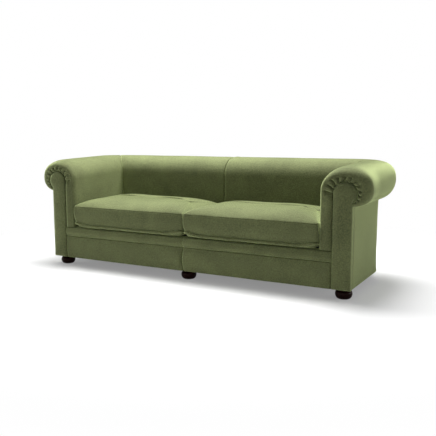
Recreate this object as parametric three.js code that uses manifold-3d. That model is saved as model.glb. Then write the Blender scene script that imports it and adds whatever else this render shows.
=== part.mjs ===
// Three-seat roll arm sofa in plain velvet on bun feet, built piece by piece.
// Millimetres, +Z up, +X to the right of someone facing the sofa, +Y to the rear.
// The origin is on the floor, under the middle of the sofa's outer box.
import * as THREE from 'three';
import { mergeVertices } from 'three/addons/utils/BufferGeometryUtils.js';
import Module from 'manifold-3d';

const wasm = await Module();
wasm.setup();

// Driving sizes of the whole sofa
const overallDepth = 850;
const overallHeight = 742;
const seatWidth = 1732;
const footHeight = 59;
const seatDeckHeight = 271;
const gap = 0.3;

// Roll arms and roll back, measured outwards from the inside face
const armRollRadius = 135.5;
const armRollRearRise = 118;
const armColumnWidth = 184;
const backRollRadius = 150;
const backRollRise = 122;
const backColumnDepth = 195;
const rollDrop = 231;
const padThickness = 38;
const armDroop = 16;
const armDroopPower = 1.6;
const noseSwell = 8;
const noseSwellReach = 150;
const insideCornerRadius = 6;
const outsidePanelThickness = 10;
const outsidePanelTuck = 34;
const backSeamDepth = 5;
const backSeamReach = 14;

// Front of the arms: keyhole facing and the pleated border round it
const facingInset = 77;
const facingThickness = 30;
const facingCrown = 10;
const facingHeadWidth = 130;
const facingHeadHeight = 122;
const facingHeadDrop = 23.5;
const borderTopRound = 42;
const borderSideRound = 14;
const borderCrown = 4;
const borderSeamDepth = 7;
const borderSeamWidth = 8;
const pleatDepth = 8;
const pleatCount = 12;

// Seat front: rounded lip above a pillowed lower panel
const lipHeight = 63;
const lipProud = 5;
const lipTopPad = 30;
const lipRound = 12;
const frontPad = 16;
const frontPillow = 7;
const frontSeamDepth = 7;
const frontSeamReach = 26;

// Timber frame
const timberThickness = 30;
const boardThickness = 21;
const centreRailWidth = 80;
const centreRailHeight = 28;
const sideRailHeight = 120;
const tuckRailHeight = 75;
const topRailWidth = 90;
const topRailDrop = 28;
const uprightWidth = 80;
const dustCoverThickness = 2;

// Feet, their blocks and hanger bolts
const footRadius = 51;
const footCollarRadius = 41;
const footWaistRadius = 38;
const footBaseRadius = 36;
const frontFootSide = 55;
const frontFootSetback = 70;
const rearCentreFootSetback = 58;
const footBlockSize = 80;
const frontBlockWidth = 64;
const footBlockHeight = 40;
const boltRadius = 4;
const boltDepthInFoot = 42;
const boltTip = 2;

// Seat platform and its serpentine springs
const deckThickness = 16;
const deckRest = 30;
const clipStripDepth = 16;
const clipStripHeight = 16;
const springCount = 8;
const springBends = 14;
const springWidth = 50;
const springWire = 4;
const springRise = 12;
const springEnd = 3;

// Loose seat cushions and their zips
const cushionGap = 1.5;
const cushionCornerRadius = 12;
const cushionRearSpace = 14;
const cushionBottomSeam = 15;
const cushionTopSeam = 136;
const cushionCrown = 76;
const cushionSideBulge = 3;
const cushionDrawIn = 5;
const cushionBottomRound = 10;
const cushionSeamDepth = 3;
const cushionSeamWidth = 6;
const zipHeight = 76;
const zipStart = 300;
const sliderLength = 16;
const sliderWidth = 11;
const sliderThickness = 5;
const sliderBridge = 2;
const pullLength = 26;
const pullWidth = 7;
const pullThickness = 1.6;

// Shares, chosen by hand
const armRowShares = [0, 0.15, 0.35, 0.6, 1];
const bandRowShares = [0, 0.3, 0.6, 0.85];
const facingRowShares = [
  { inset: 0, rise: -0.5 },
  { inset: 0.4, rise: 0.1 },
  { inset: 1.4, rise: 0.62 },
  { inset: 3, rise: 1 },
];
const pleatRowShares = [0, 0.18, 0.5, 0.82];
const pleatRiseShares = [0, 0.72, 1, 0.66];
const pleatMiddleShare = 0.6;
const boxingRowShares = [0.08, 0.3, 0.5, 0.7, 0.92];
const crownRowShares = [0.985, 0.94, 0.85, 0.7, 0.5, 0.26];
const crownRoundShare = 1.12;
const crownPower = 3;
const drawInShares = [0.25, 0.5, 0.75];
const cornerFullShare = 0.6;
const footNeckShare = 0.84;
const footBellyShare = 0.42;
const footCollarShare = 0.3;
const sliderWaistShare = 0.75;
const sliderNoseShare = 0.6;
const cornerFootTurnShare = 0.58;

// Places that follow from the sizes
const frontMost = -overallDepth / 2;
const frontPlane = frontMost + facingCrown;
const facingBack = frontPlane + facingThickness;
const backInside = overallDepth / 2 - 2 * backRollRadius;
const armInside = seatWidth / 2;
const armOutside = armInside + armColumnWidth;
const facingInner = armInside + facingInset;
const pivotX = armInside - insideCornerRadius;
const pivotY = backInside - insideCornerRadius;
const columnHeight = overallHeight - rollDrop;
const coverBottom = seatDeckHeight + gap;
const railBottom = footHeight + dustCoverThickness + gap;
const railTop = seatDeckHeight - lipTopPad - gap;
const deckUnderside = seatDeckHeight - deckThickness;
const lipBottom = seatDeckHeight - lipHeight;
const frontRailFront = frontPlane + frontPad + gap;
const frontRailRear = frontRailFront + timberThickness;
const lipRear = frontRailRear;
const boardFront = facingBack + gap;
const boardRear = boardFront + boardThickness;
const armTimberFace = armColumnWidth - outsidePanelThickness - gap;
const backTimberFace = backColumnDepth - outsidePanelThickness - gap;
const topRailTop = overallHeight - padThickness - topRailDrop;
const topRailBottom = topRailTop - timberThickness;
const rearRailRear = backInside + backTimberFace;
const rearRailFront = rearRailRear - timberThickness;
const tuckRailInner = armInside + padThickness + gap;
const tuckRailTop = deckUnderside - gap;
const backTuckFront = backInside + padThickness + gap;

const velvet = new THREE.MeshStandardMaterial({ color: 0x7c8f50, roughness: 0.9, metalness: 0 });
const timber = new THREE.MeshStandardMaterial({ color: 0xc9a876, roughness: 0.75, metalness: 0 });
const plywood = new THREE.MeshStandardMaterial({ color: 0xd2b98c, roughness: 0.7, metalness: 0 });
const stainedWood = new THREE.MeshStandardMaterial({ color: 0x26150e, roughness: 0.35, metalness: 0 });
const steel = new THREE.MeshStandardMaterial({ color: 0x8f9296, roughness: 0.35, metalness: 1 });
const lining = new THREE.MeshStandardMaterial({ color: 0x1d1d1f, roughness: 0.95, metalness: 0 });

const sofa = new THREE.Group();

function add(name, geometry, material) {
  const mesh = new THREE.Mesh(geometry, material.clone());
  mesh.name = name;
  sofa.add(mesh);
  return mesh;
}

// Each side of the sofa: its name, and the sign of X there.
const sides = [
  { side: 'left', sign: -1 },
  { side: 'right', sign: 1 },
];

function flat(x, y) {
  return new THREE.Vector2(x, y);
}

function space(x, y, z) {
  return new THREE.Vector3(x, y, z);
}

function signedVolume(positions, triangles) {
  const corner = (i) => space(positions[3 * i], positions[3 * i + 1], positions[3 * i + 2]);
  return triangles.reduce((sum, [a, b, c]) => sum + corner(a).dot(corner(b).cross(corner(c))), 0);
}

// A geometry of shared vertices whose faces point out.
function closedSolid(positions, triangles) {
  const turned = signedVolume(positions, triangles) < 0;
  const faces = turned ? triangles.map(([a, b, c]) => [a, c, b]) : triangles;
  const geometry = new THREE.BufferGeometry();
  geometry.setAttribute('position', new THREE.Float32BufferAttribute(positions, 3));
  geometry.setIndex(faces.flat());
  geometry.computeVertexNormals();
  return geometry;
}

// Triangles that fill an outline, all turned the way the outline runs.
function capTriangles(outline) {
  const whole = THREE.ShapeUtils.area(outline);
  return THREE.ShapeUtils.triangulateShape(outline, []).map(([a, b, c]) => {
    const piece = THREE.ShapeUtils.area([outline[a], outline[b], outline[c]]);
    return piece * whole > 0 ? [a, b, c] : [a, c, b];
  });
}

// One ring of a loft: a flat section, and the place of each of its points in space.
function ring(section, place) {
  return { section, points: section.map((p) => place(p.x, p.y)) };
}

// A closed body through a row of rings with as many points each, capped at both ends.
function loft(rings) {
  const count = rings[0].points.length;
  const positions = rings.flatMap((r) => r.points.flatMap((p) => [p.x, p.y, p.z]));
  const triangles = [];
  for (let row = 0; row + 1 < rings.length; row += 1) {
    for (let i = 0; i < count; i += 1) {
      const a = row * count + i;
      const b = row * count + ((i + 1) % count);
      triangles.push([a, b, b + count], [a, b + count, a + count]);
    }
  }
  const last = (rings.length - 1) * count;
  for (const [a, b, c] of capTriangles(rings[0].section)) {
    triangles.push([a, c, b]);
  }
  for (const [a, b, c] of capTriangles(rings[rings.length - 1].section)) {
    triangles.push([a + last, b + last, c + last]);
  }
  return closedSolid(positions, triangles);
}

// The same loft on the other side of the sofa.
function mirrored(rings, sign) {
  return rings.map((r) => ({
    section: r.section,
    points: r.points.map((p) => space(sign * p.x, p.y, p.z)),
  }));
}

function plank(x0, x1, y0, y1, z0, z1) {
  const geometry = new THREE.BoxGeometry(x1 - x0, y1 - y0, z1 - z0);
  geometry.translate((x0 + x1) / 2, (y0 + y1) / 2, (z0 + z1) / 2);
  return geometry;
}

// A plank on one side of the sofa, given by its distances from the middle.
function sidePlank(sign, x0, x1, y0, y1, z0, z1) {
  const near = Math.min(sign * x0, sign * x1);
  const far = Math.max(sign * x0, sign * x1);
  return plank(near, far, y0, y1, z0, z1);
}

// Points along an elliptical arc, both ends included.
function arc(centreX, centreY, radiusX, radiusY, from, to, steps) {
  return Array.from({ length: steps + 1 }, (_, i) => {
    const angle = from + ((to - from) * i) / steps;
    return flat(centreX + radiusX * Math.cos(angle), centreY + radiusY * Math.sin(angle));
  });
}

const rightAngle = Math.PI / 2;

// Rolls of the arms and the back: half-width, height above the widest line, and column behind.
const backRoll = { radius: backRollRadius, rise: backRollRise, column: backColumnDepth };

// An arm's roll, round at its front and a little flatter over the widest line at its rear.
function armRoll(rearShare) {
  const rise = armRollRadius + (armRollRearRise - armRollRadius) * rearShare;
  return { radius: armRollRadius, rise, column: armColumnWidth };
}

// Outline of a rolled arm or back: up the inside face, over the roll and in under it.
function rollOutline({ radius, rise, column }, inset) {
  const centreHeight = overallHeight - rise;
  const under = 2 * radius - column - gap;
  const over = arc(radius, centreHeight, radius - inset, rise - inset, Math.PI, 0, 14);
  const below = arc(
    column + gap,
    centreHeight,
    under - inset,
    centreHeight - columnHeight - inset,
    0,
    -rightAngle,
    6,
  );
  return [flat(inset, coverBottom), ...over, ...below.slice(1)];
}

// Padded cover of a roll: its outer outline, and back along the inner one.
function rollSection(roll, sink) {
  return [...rollOutline(roll, sink), ...rollOutline(roll, padThickness).reverse()];
}

const armSection = rollSection(armRoll(1), 0);
const backSection = rollSection(backRoll, 0);

// Height of a point of an arm's roll at a distance from the front, towards which the roll sinks.
function drooped(z, y) {
  const share = Math.max(0, (pivotY - y) / (pivotY - facingBack));
  const sunk = (armDroop / rollDrop) * share ** armDroopPower;
  return z - Math.max(0, z - columnHeight) * sunk;
}

// Distance of a point of an arm's roll from its inside face: the roll swells out at its nose.
function swelled(d, y) {
  const nearFront = Math.max(0, 1 - (y - facingBack) / noseSwellReach);
  const beyond = Math.max(0, d - armColumnWidth) / (2 * armRollRadius - armColumnWidth);
  return d + noseSwell * nearFront * beyond;
}

// Place of a point of an arm's section at a distance from the front.
function armPlace(d, y, z) {
  return space(armInside + swelled(d, y), y, drooped(z, y));
}

// The roll stays fuller in plan round the rear corner than the column below it.
function cornerPower(distance, column, reach) {
  const beyond = Math.max(0, distance - column) / (reach - column);
  return 2 + cornerFullShare * beyond;
}

// Place of a section point, turned about the inside corner from the arm to the back.
function cornerPlace(armPoint, backPoint, turn) {
  const power = cornerPower(armPoint.x, armColumnWidth, 2 * armRollRadius);
  const along = Math.cos(turn) ** (2 / power);
  const across = Math.sin(turn) ** (2 / power);
  const share = turn / rightAngle;
  return space(
    pivotX + (insideCornerRadius + armPoint.x) * along,
    pivotY + (insideCornerRadius + backPoint.x) * across,
    armPoint.y + (backPoint.y - armPoint.y) * share,
  );
}

function cornerRing(armOutline, backOutline, turn) {
  return {
    section: armOutline,
    points: armOutline.map((p, i) => cornerPlace(p, backOutline[i], turn)),
  };
}

// The mitre seam: the corner's middle ring, moved half a gap towards one side of it.
function mitreRing(towardsArm) {
  const middle = cornerRing(armSection, backSection, rightAngle / 2);
  const step = (towardsArm * gap) / 2 / Math.SQRT2;
  return {
    section: middle.section,
    points: middle.points.map((p) => space(p.x + step, p.y - step, p.z)),
  };
}

const cornerTurns = 10;

// Padded inside arm cover: from the pleated border over the roll to the mitre at the corner.
function armCover(sign) {
  const front = facingBack + gap;
  const rings = armRowShares.map((share) => {
    const y = front + (pivotY - front) * share;
    const section = rollSection(armRoll(share ** 2), 0);
    return ring(section, (d, z) => armPlace(d, y, z));
  });
  for (let i = 1; i < cornerTurns / 2; i += 1) {
    rings.push(cornerRing(armSection, backSection, (rightAngle * i) / cornerTurns));
  }
  rings.push(mitreRing(1));
  return loft(mirrored(rings, sign));
}

// Padded inside back cover: mitre to mitre, drawn in along the sewn seam in its middle.
function backCover() {
  const half = [mitreRing(-1)];
  for (let i = cornerTurns / 2 + 1; i < cornerTurns; i += 1) {
    half.push(cornerRing(armSection, backSection, (rightAngle * i) / cornerTurns));
  }
  half.push(ring(backSection, (d, z) => space(pivotX, backInside + d, z)));
  half.push(ring(backSection, (d, z) => space(backSeamReach, backInside + d, z)));
  const drawn = rollSection(backRoll, backSeamDepth);
  const seam = ring(drawn, (d, z) => space(0, backInside + d, z));
  const rings = [...half, seam, ...mirrored(half, -1).reverse()];
  return loft(rings);
}

// Outside arm panel: along the arm and round the rear corner, tucked up under the roll.
function outsideArmPanel(sign) {
  const top = columnHeight + outsidePanelTuck;
  const band = (outer) => [
    flat(outer - outsidePanelThickness, footHeight),
    flat(outer, footHeight),
    flat(outer, top),
    flat(outer - outsidePanelThickness, top),
  ];
  const armBand = band(armColumnWidth);
  const backBand = band(backColumnDepth);
  const rings = [boardFront, pivotY].map((y) => ring(armBand, (d, z) => space(armInside + d, y, z)));
  for (let i = 1; i <= cornerTurns; i += 1) {
    rings.push(cornerRing(armBand, backBand, (rightAngle * i) / cornerTurns));
  }
  return loft(mirrored(rings, sign));
}

function outsideBackPanel() {
  const rear = backInside + backColumnDepth;
  const edge = pivotX - gap;
  const top = columnHeight + outsidePanelTuck;
  return plank(-edge, edge, rear - outsidePanelThickness, rear, footHeight, top);
}

// Head of the keyhole facing, as an ellipse that starts level with the column's inner edge.
const headCentreX = facingInset + facingHeadWidth / 2;
const headCentreZ = overallHeight - armRollRadius - facingHeadDrop;

// Turn round the head at which its outline comes back to the column's outer face.
function headEnd(clear) {
  const reach = facingHeadWidth / 2 + clear;
  return -Math.acos(Math.min(1, (armColumnWidth - headCentreX) / reach));
}

function headArc(clear, steps) {
  const width = facingHeadWidth / 2 + clear;
  const height = facingHeadHeight / 2 + clear;
  return arc(headCentreX, headCentreZ, width, height, Math.PI, headEnd(clear), steps);
}

// Moves each point of a closed outline inwards by the same distance from its two edges.
function insetOutline(outline, distance) {
  const turn = Math.sign(THREE.ShapeUtils.area(outline));
  const inward = (from, to) => {
    const edge = to.clone().sub(from).normalize();
    return flat(-edge.y * turn, edge.x * turn);
  };
  return outline.map((p, i) => {
    const before = inward(outline[(i + outline.length - 1) % outline.length], p);
    const after = inward(p, outline[(i + 1) % outline.length]);
    const middle = before.clone().add(after).normalize();
    return p.clone().addScaledVector(middle, distance / middle.dot(before));
  });
}

function facingOutline() {
  return [
    flat(armColumnWidth, footHeight),
    flat(facingInset, footHeight),
    flat(facingInset, (footHeight + headCentreZ) / 2),
    ...headArc(0, 22),
    flat(armColumnWidth, (footHeight + columnHeight) / 2),
  ];
}

// Padded keyhole facing with a soft crown across its width.
function facing(sign) {
  const outline = facingOutline();
  const back = ring(outline, (d, z) => space(armInside + d, facingBack, z));
  const front = facingRowShares.map(({ inset, rise }) => {
    const y = frontPlane - facingCrown * rise;
    return ring(insetOutline(outline, facingCrown * inset), (d, z) => space(armInside + d, y, z));
  });
  return loft(mirrored([back, ...front], sign));
}

// Outer and inner end of one row of the border, at a share of the way round the head.
function borderRow(share) {
  const turn = Math.PI - share * (Math.PI + rightAngle);
  const centreHeight = overallHeight - armRollRadius;
  const over = turn >= 0;
  const outer = over
    ? flat(
        armRollRadius + armRollRadius * Math.cos(turn),
        centreHeight + armRollRadius * Math.sin(turn),
      )
    : flat(
        armColumnWidth + gap + (2 * armRollRadius - armColumnWidth - gap) * Math.cos(turn),
        centreHeight + (centreHeight - columnHeight) * Math.sin(turn),
      );
  const innerTurn = Math.PI + share * (headEnd(gap) - Math.PI);
  const inner = flat(
    headCentreX + (facingHeadWidth / 2 + gap) * Math.cos(innerTurn),
    headCentreZ + (facingHeadHeight / 2 + gap) * Math.sin(innerTurn),
  );
  const topShare = Math.max(0, Math.sin(turn));
  return { outer, inner, round: borderSideRound + (borderTopRound - borderSideRound) * topShare };
}

// Section of the border between its outer and inner end: rounded outside, sewn down inside.
function borderSection(width, rise, edgeRound) {
  const round = Math.min(edgeRound, width / 2);
  const sunk = pleatDepth * (1 - rise);
  const edge = arc(round, facingBack, round, facingThickness, Math.PI, Math.PI + rightAngle, 5);
  const crest = frontPlane - borderCrown;
  const beforeSeam = width - borderSeamWidth;
  return [
    ...edge,
    flat((round + beforeSeam) / 2, crest + sunk * pleatMiddleShare),
    flat(beforeSeam, crest + sunk),
    flat(width, frontPlane + borderSeamDepth),
    flat(width, facingBack),
  ];
}

// Pleated border of the arm front: a plain band up the inside, then pleats gathered round the
// head of the facing, each one a knife fold that dies out towards the rounded outer edge.
function pleatedBorder(sign) {
  const rows = [];
  const springLine = overallHeight - armRollRadius;
  for (const share of bandRowShares) {
    const z = coverBottom + (springLine - coverBottom) * share;
    const outer = flat(0, z);
    const inner = flat(facingInset - gap, coverBottom + (headCentreZ - coverBottom) * share);
    rows.push({ outer, inner, round: borderSideRound, rise: 1 });
  }
  for (let pleat = 0; pleat < pleatCount; pleat += 1) {
    pleatRowShares.forEach((share, i) => {
      rows.push({ ...borderRow((pleat + share) / pleatCount), rise: pleatRiseShares[i] });
    });
  }
  rows.push({ ...borderRow(1), rise: 0 });
  const rings = rows.map(({ outer, inner, round, rise }) => {
    const edge = flat(swelled(outer.x, facingBack), drooped(outer.y, facingBack));
    const way = inner.clone().sub(edge);
    const width = way.length();
    way.normalize();
    const place = (n, y) => space(armInside + edge.x + way.x * n, y, edge.y + way.y * n);
    return ring(borderSection(width, rise, round), place);
  });
  return loft(mirrored(rings, sign));
}

// Shares of the run along a front panel's half, from the sewn middle to its end.
function seamRuns(halfLength) {
  const near = frontSeamReach / 4;
  const end = halfLength - frontSeamReach;
  return [0, near, frontSeamReach, halfLength / 2, end, halfLength - near, halfLength];
}

// How far a front panel stands out at a distance from its sewn middle, from 0 to 1.
function seamRise(run, halfLength) {
  const edge = Math.min(run, halfLength - run) / frontSeamReach;
  return edge >= 1 ? 1 : Math.sqrt(1 - (1 - edge) ** 2);
}

// A front panel lofted along X through a section that depends on how far it stands out.
function frontPanel(section) {
  const halfLength = facingInner - gap;
  const half = seamRuns(halfLength).map((run) =>
    ring(section(seamRise(run, halfLength)), (y, z) => space(run, y, z)),
  );
  const rings = [...mirrored(half, -1).reverse().slice(0, -1), ...half];
  return loft(rings);
}

function lowerFrontPanel() {
  return frontPanel((rise) => {
    const back = frontPlane + frontPad;
    const top = lipBottom - gap;
    const face = frontPlane + frontSeamDepth * (1 - rise);
    const middle = face - frontPillow * rise;
    return [
      flat(back, footHeight),
      flat(face + lipRound / 3, footHeight),
      flat(face, footHeight + lipRound),
      flat(middle, (footHeight + top) / 2),
      flat(face, top - lipRound),
      flat(face + lipRound / 4, top),
      flat(back, top),
    ];
  });
}

// Rounded lip along the front of the seat, lapped over the front rail.
function frontLip() {
  return frontPanel((rise) => {
    const face = frontPlane - lipProud + (frontSeamDepth / 2) * (1 - rise);
    const back = frontPlane + frontPad;
    const low = arc(face + lipRound, lipBottom + lipRound, lipRound, lipRound, -rightAngle, -Math.PI, 4);
    const high = arc(
      face + lipRound,
      seatDeckHeight - lipRound,
      lipRound,
      lipRound,
      Math.PI,
      rightAngle,
      4,
    );
    return [
      flat(back, lipBottom),
      ...low,
      ...high,
      flat(lipRear, seatDeckHeight),
      flat(lipRear, seatDeckHeight - lipTopPad),
      flat(back, seatDeckHeight - lipTopPad),
    ];
  });
}

function shapeOf(outline) {
  return new THREE.Shape(outline);
}

// A flat outline in X and Z, given thickness from one Y to another.
function board(outline, front, rear) {
  const geometry = new THREE.ExtrudeGeometry(shapeOf(outline), {
    depth: rear - front,
    bevelEnabled: false,
  });
  geometry.rotateX(rightAngle);
  geometry.translate(0, rear, 0);
  return geometry;
}

// A flat outline in X and Y with round holes, standing from one Z to another.
function slab(outline, holes, bottom, top) {
  const shape = shapeOf(outline);
  for (const hole of holes) {
    const path = new THREE.Path();
    path.absarc(hole.x, hole.y, hole.radius, 0, 2 * Math.PI, true);
    shape.holes.push(path);
  }
  const geometry = new THREE.ExtrudeGeometry(shape, {
    depth: top - bottom,
    bevelEnabled: false,
    curveSegments: 5,
  });
  geometry.translate(0, 0, bottom);
  return geometry;
}

function rectangle(x0, x1, y0, y1) {
  return [flat(x0, y0), flat(x1, y0), flat(x1, y1), flat(x0, y1)];
}

// Scroll-shaped board behind the facing, notched at its foot for the seat rails.
function armFrontBoard(sign) {
  const clear = padThickness + gap;
  const scroll = rollOutline(armRoll(0), clear).reverse();
  const outline = [
    flat(facingInset, railBottom),
    flat(armTimberFace, railBottom),
    flat(armTimberFace, columnHeight + clear),
    ...scroll.slice(0, -1),
    flat(clear, coverBottom + gap),
    flat(facingInset, coverBottom + gap),
  ];
  const places = outline.map((p) => flat(sign * (armInside + p.x), drooped(p.y, facingBack)));
  return board(places, boardFront, boardRear);
}

// Half-widths of the rear corner post's outer and inner face, from the corner's pivot.
const postOuterX = insideCornerRadius + armTimberFace;
const postOuterY = insideCornerRadius + backTimberFace;
const postInnerX = postOuterX - timberThickness;
const postInnerY = postOuterY - timberThickness;
const postFacets = 8;

// The share of its radius that a faceted arc keeps clear at the middle of a facet.
const facetShare = Math.cos(rightAngle / postFacets / 2);

// Laminated post that carries the rounded rear corner and ties the side rails to the rear ones.
function rearCornerPost(sign) {
  const outer = arc(pivotX, pivotY, postOuterX, postOuterY, 0, rightAngle, cornerTurns);
  const inner = arc(pivotX, pivotY, postInnerX, postInnerY, rightAngle, 0, postFacets);
  const outline = [...outer, ...inner].map((p) => flat(sign * p.x, p.y));
  return slab(outline, [], railBottom, topRailTop);
}

// Y of the post's inner face at a distance from the sofa's middle.
function postFaceAt(x) {
  const share = (x - pivotX) / (postInnerX * facetShare);
  return pivotY + postInnerY * facetShare * Math.sqrt(1 - share * share);
}

function rearFootPlace() {
  const turn = rightAngle * cornerFootTurnShare;
  return flat(
    pivotX + (postInnerX * facetShare - gap) * Math.cos(turn) - footBlockSize / 2,
    pivotY + (postInnerY * facetShare - gap) * Math.sin(turn) - footBlockSize / 2,
  );
}

// Feet under the front corners, the middle and the rear corners.
const rearFoot = rearFootPlace();
const frontFootX = armOutside - frontFootSide;
const frontFootY = frontPlane + frontFootSetback;
const footPlaces = [
  { name: 'left_front', x: -frontFootX, y: frontFootY },
  { name: 'centre_front', x: 0, y: frontFootY },
  { name: 'right_front', x: frontFootX, y: frontFootY },
  { name: 'left_rear', x: -rearFoot.x, y: rearFoot.y },
  { name: 'centre_rear', x: 0, y: rearRailRear - rearCentreFootSetback },
  { name: 'right_rear', x: rearFoot.x, y: rearFoot.y },
];

function boltHole(place) {
  return { x: place.x, y: place.y, radius: boltRadius + gap };
}

function baseFrame() {
  const railEnd = facingInner - gap;
  add('front_rail', plank(-railEnd, railEnd, frontRailFront, frontRailRear, railBottom, railTop), timber);
  const rearEnd = pivotX - gap;
  add('rear_rail', plank(-rearEnd, rearEnd, rearRailFront, rearRailRear, railBottom, railTop), timber);
  const centreHalf = centreRailWidth / 2;
  const outline = rectangle(-centreHalf, centreHalf, frontRailRear + gap, rearRailFront - gap);
  const holes = footPlaces.filter((place) => place.x === 0).map(boltHole);
  add('centre_rail', slab(outline, holes, railBottom, railBottom + centreRailHeight), timber);
  for (const { side, sign } of sides) {
    const outer = armInside + armTimberFace;
    const rail = sidePlank(
      sign,
      outer - timberThickness,
      outer,
      boardRear + gap,
      pivotY - gap,
      railBottom,
      railBottom + sideRailHeight,
    );
    add(`${side}_base_rail`, rail, timber);
    const far = tuckRailInner + timberThickness;
    const tuck = sidePlank(
      sign,
      tuckRailInner,
      far,
      frontRailRear + gap,
      postFaceAt(far) - gap,
      tuckRailTop - tuckRailHeight,
      tuckRailTop,
    );
    add(`${side}_tuck_rail`, tuck, timber);
    add(`${side}_arm_front_board`, armFrontBoard(sign), plywood);
    add(`${side}_rear_corner_post`, rearCornerPost(sign), plywood);
  }
}

function footBlocks() {
  const outer = armInside + armTimberFace - timberThickness - gap;
  const front = boardRear + gap;
  for (const { side, sign } of sides) {
    const frontPlace = footPlaces.find((place) => place.name === `${side}_front`);
    const frontOutline = rectangle(
      Math.min(sign * (outer - frontBlockWidth), sign * outer),
      Math.max(sign * (outer - frontBlockWidth), sign * outer),
      front,
      front + footBlockSize,
    );
    const top = railBottom + footBlockHeight;
    const frontBlock = slab(frontOutline, [boltHole(frontPlace)], railBottom, top);
    add(`${side}_front_foot_block`, frontBlock, timber);
    const rearPlace = footPlaces.find((place) => place.name === `${side}_rear`);
    const half = footBlockSize / 2;
    const rearOutline = rectangle(
      rearPlace.x - half,
      rearPlace.x + half,
      rearPlace.y - half,
      rearPlace.y + half,
    );
    add(`${side}_rear_foot_block`, slab(rearOutline, [boltHole(rearPlace)], railBottom, top), timber);
  }
}

function upperFrame() {
  const half = topRailWidth / 2;
  for (const { side, sign } of sides) {
    const middle = armInside + armRollRadius;
    const rail = sidePlank(
      sign,
      middle - half,
      middle + half,
      boardRear + gap,
      pivotY - gap,
      topRailBottom,
      topRailTop,
    );
    add(`${side}_arm_top_rail`, rail, timber);
  }
  const end = pivotX - gap;
  const middle = backInside + backRollRadius;
  add('back_top_rail', plank(-end, end, middle - half, middle + half, topRailBottom, topRailTop), timber);
  const tuckEnd = tuckRailInner - gap;
  const tuck = plank(
    -tuckEnd,
    tuckEnd,
    backTuckFront,
    backTuckFront + timberThickness,
    tuckRailTop - tuckRailHeight,
    tuckRailTop,
  );
  add('back_tuck_rail', tuck, timber);
  const uprightHalf = uprightWidth / 2;
  const upright = plank(
    -uprightHalf,
    uprightHalf,
    rearRailFront,
    rearRailRear,
    railTop + gap,
    topRailBottom - gap,
  );
  add('back_centre_upright', upright, timber);
}

// Turned bun foot, bored from the top for its bolt.
function bunFoot() {
  const top = footHeight - gap;
  const neck = top * footNeckShare;
  const belly = top * footBellyShare;
  const bore = boltRadius + gap;
  const boreEnd = top - boltDepthInFoot;
  const lower = arc(footBaseRadius, belly, footRadius - footBaseRadius, belly, -rightAngle, 0, 3);
  const upper = arc(footWaistRadius, belly, footRadius - footWaistRadius, neck - belly, 0, rightAngle, 3);
  const profile = [
    flat(0, 0),
    ...lower,
    ...upper.slice(1, -1),
    flat(footWaistRadius, neck),
    flat(footCollarRadius, neck + (top - neck) * footCollarShare),
    flat(footCollarRadius, top),
    flat(bore, top),
    flat(bore, boreEnd),
    flat(0, boreEnd),
  ];
  return new THREE.LatheGeometry(profile, 18);
}

// Hanger bolt between a foot and its block.
function hangerBolt(length) {
  const tip = boltRadius - boltTip;
  const profile = [
    flat(0, 0),
    flat(tip, 0),
    flat(boltRadius, boltTip),
    flat(boltRadius, length - boltTip),
    flat(tip, length),
    flat(0, length),
  ];
  return new THREE.LatheGeometry(profile, 8);
}

function feet() {
  const boltBottom = footHeight - boltDepthInFoot;
  for (const { name, x, y } of footPlaces) {
    const foot = add(`${name}_foot`, bunFoot(), stainedWood);
    foot.rotation.x = rightAngle;
    foot.position.set(x, y, 0);
    const carrier = x === 0 ? centreRailHeight : footBlockHeight;
    const bolt = add(`${name}_foot_bolt`, hangerBolt(railBottom + carrier - boltBottom), steel);
    bolt.rotation.x = rightAngle;
    bolt.position.set(x, y, boltBottom);
  }
}

// Black lining stapled under the frame, pierced for the foot bolts.
function dustCover() {
  const side = armInside + armTimberFace;
  const corner = arc(pivotX, pivotY, postOuterX, postOuterY, 0, rightAngle, cornerTurns);
  const outline = [
    flat(-side, boardFront),
    flat(side, boardFront),
    ...corner,
    ...corner.map((p) => flat(-p.x, p.y)).reverse(),
  ];
  return slab(outline, footPlaces.map(boltHole), footHeight, footHeight + dustCoverThickness);
}

// Serpentine spring: level loops from side to side, arched up between its two clip strips.
function serpentineSpring(x, front, rear, height) {
  const points = [space(x, front, height), space(x, front + springEnd, height)];
  for (let bend = 0; bend < springBends; bend += 1) {
    const share = (bend + 0.5) / springBends;
    const y = front + springEnd + (rear - front - 2 * springEnd) * share;
    const reach = ((bend % 2 ? 1 : -1) * (springWidth - springWire)) / 2;
    points.push(space(x + reach, y, height + springRise * Math.sin(Math.PI * share)));
  }
  points.push(space(x, rear - springEnd, height), space(x, rear, height));
  const wire = new THREE.Shape(arc(0, 0, springWire / 2, springWire / 2, 0, 3 * rightAngle, 3));
  return new THREE.ExtrudeGeometry(wire, {
    steps: springBends * 3,
    extrudePath: new THREE.CatmullRomCurve3(points, false, 'centripetal'),
    bevelEnabled: false,
  });
}

function seatPlatform() {
  const stripTop = deckUnderside - springRise - springWire - 2 * gap;
  const stripBottom = stripTop - clipStripHeight;
  const end = tuckRailInner - gap;
  const frontStrip = frontRailRear + gap;
  const rearStrip = backTuckFront - gap;
  const front = plank(-end, end, frontStrip, frontStrip + clipStripDepth, stripBottom, stripTop);
  add('front_spring_clip_strip', front, steel);
  const rear = plank(-end, end, rearStrip - clipStripDepth, rearStrip, stripBottom, stripTop);
  add('rear_spring_clip_strip', rear, steel);
  const pitch = seatWidth / springCount;
  for (let i = 0; i < springCount; i += 1) {
    const x = pitch * (i + 0.5) - seatWidth / 2;
    const height = stripTop + gap + springWire / 2;
    const spring = serpentineSpring(x, frontStrip + springEnd, rearStrip - springEnd, height);
    add(`seat_spring_${i + 1}`, spring, steel);
  }
  const side = tuckRailInner + deckRest - gap;
  const deckRear = backTuckFront + deckRest;
  const deck = plank(-side, side, lipRear + gap, deckRear, deckUnderside, seatDeckHeight);
  add('seat_deck', deck, lining);
}

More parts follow.
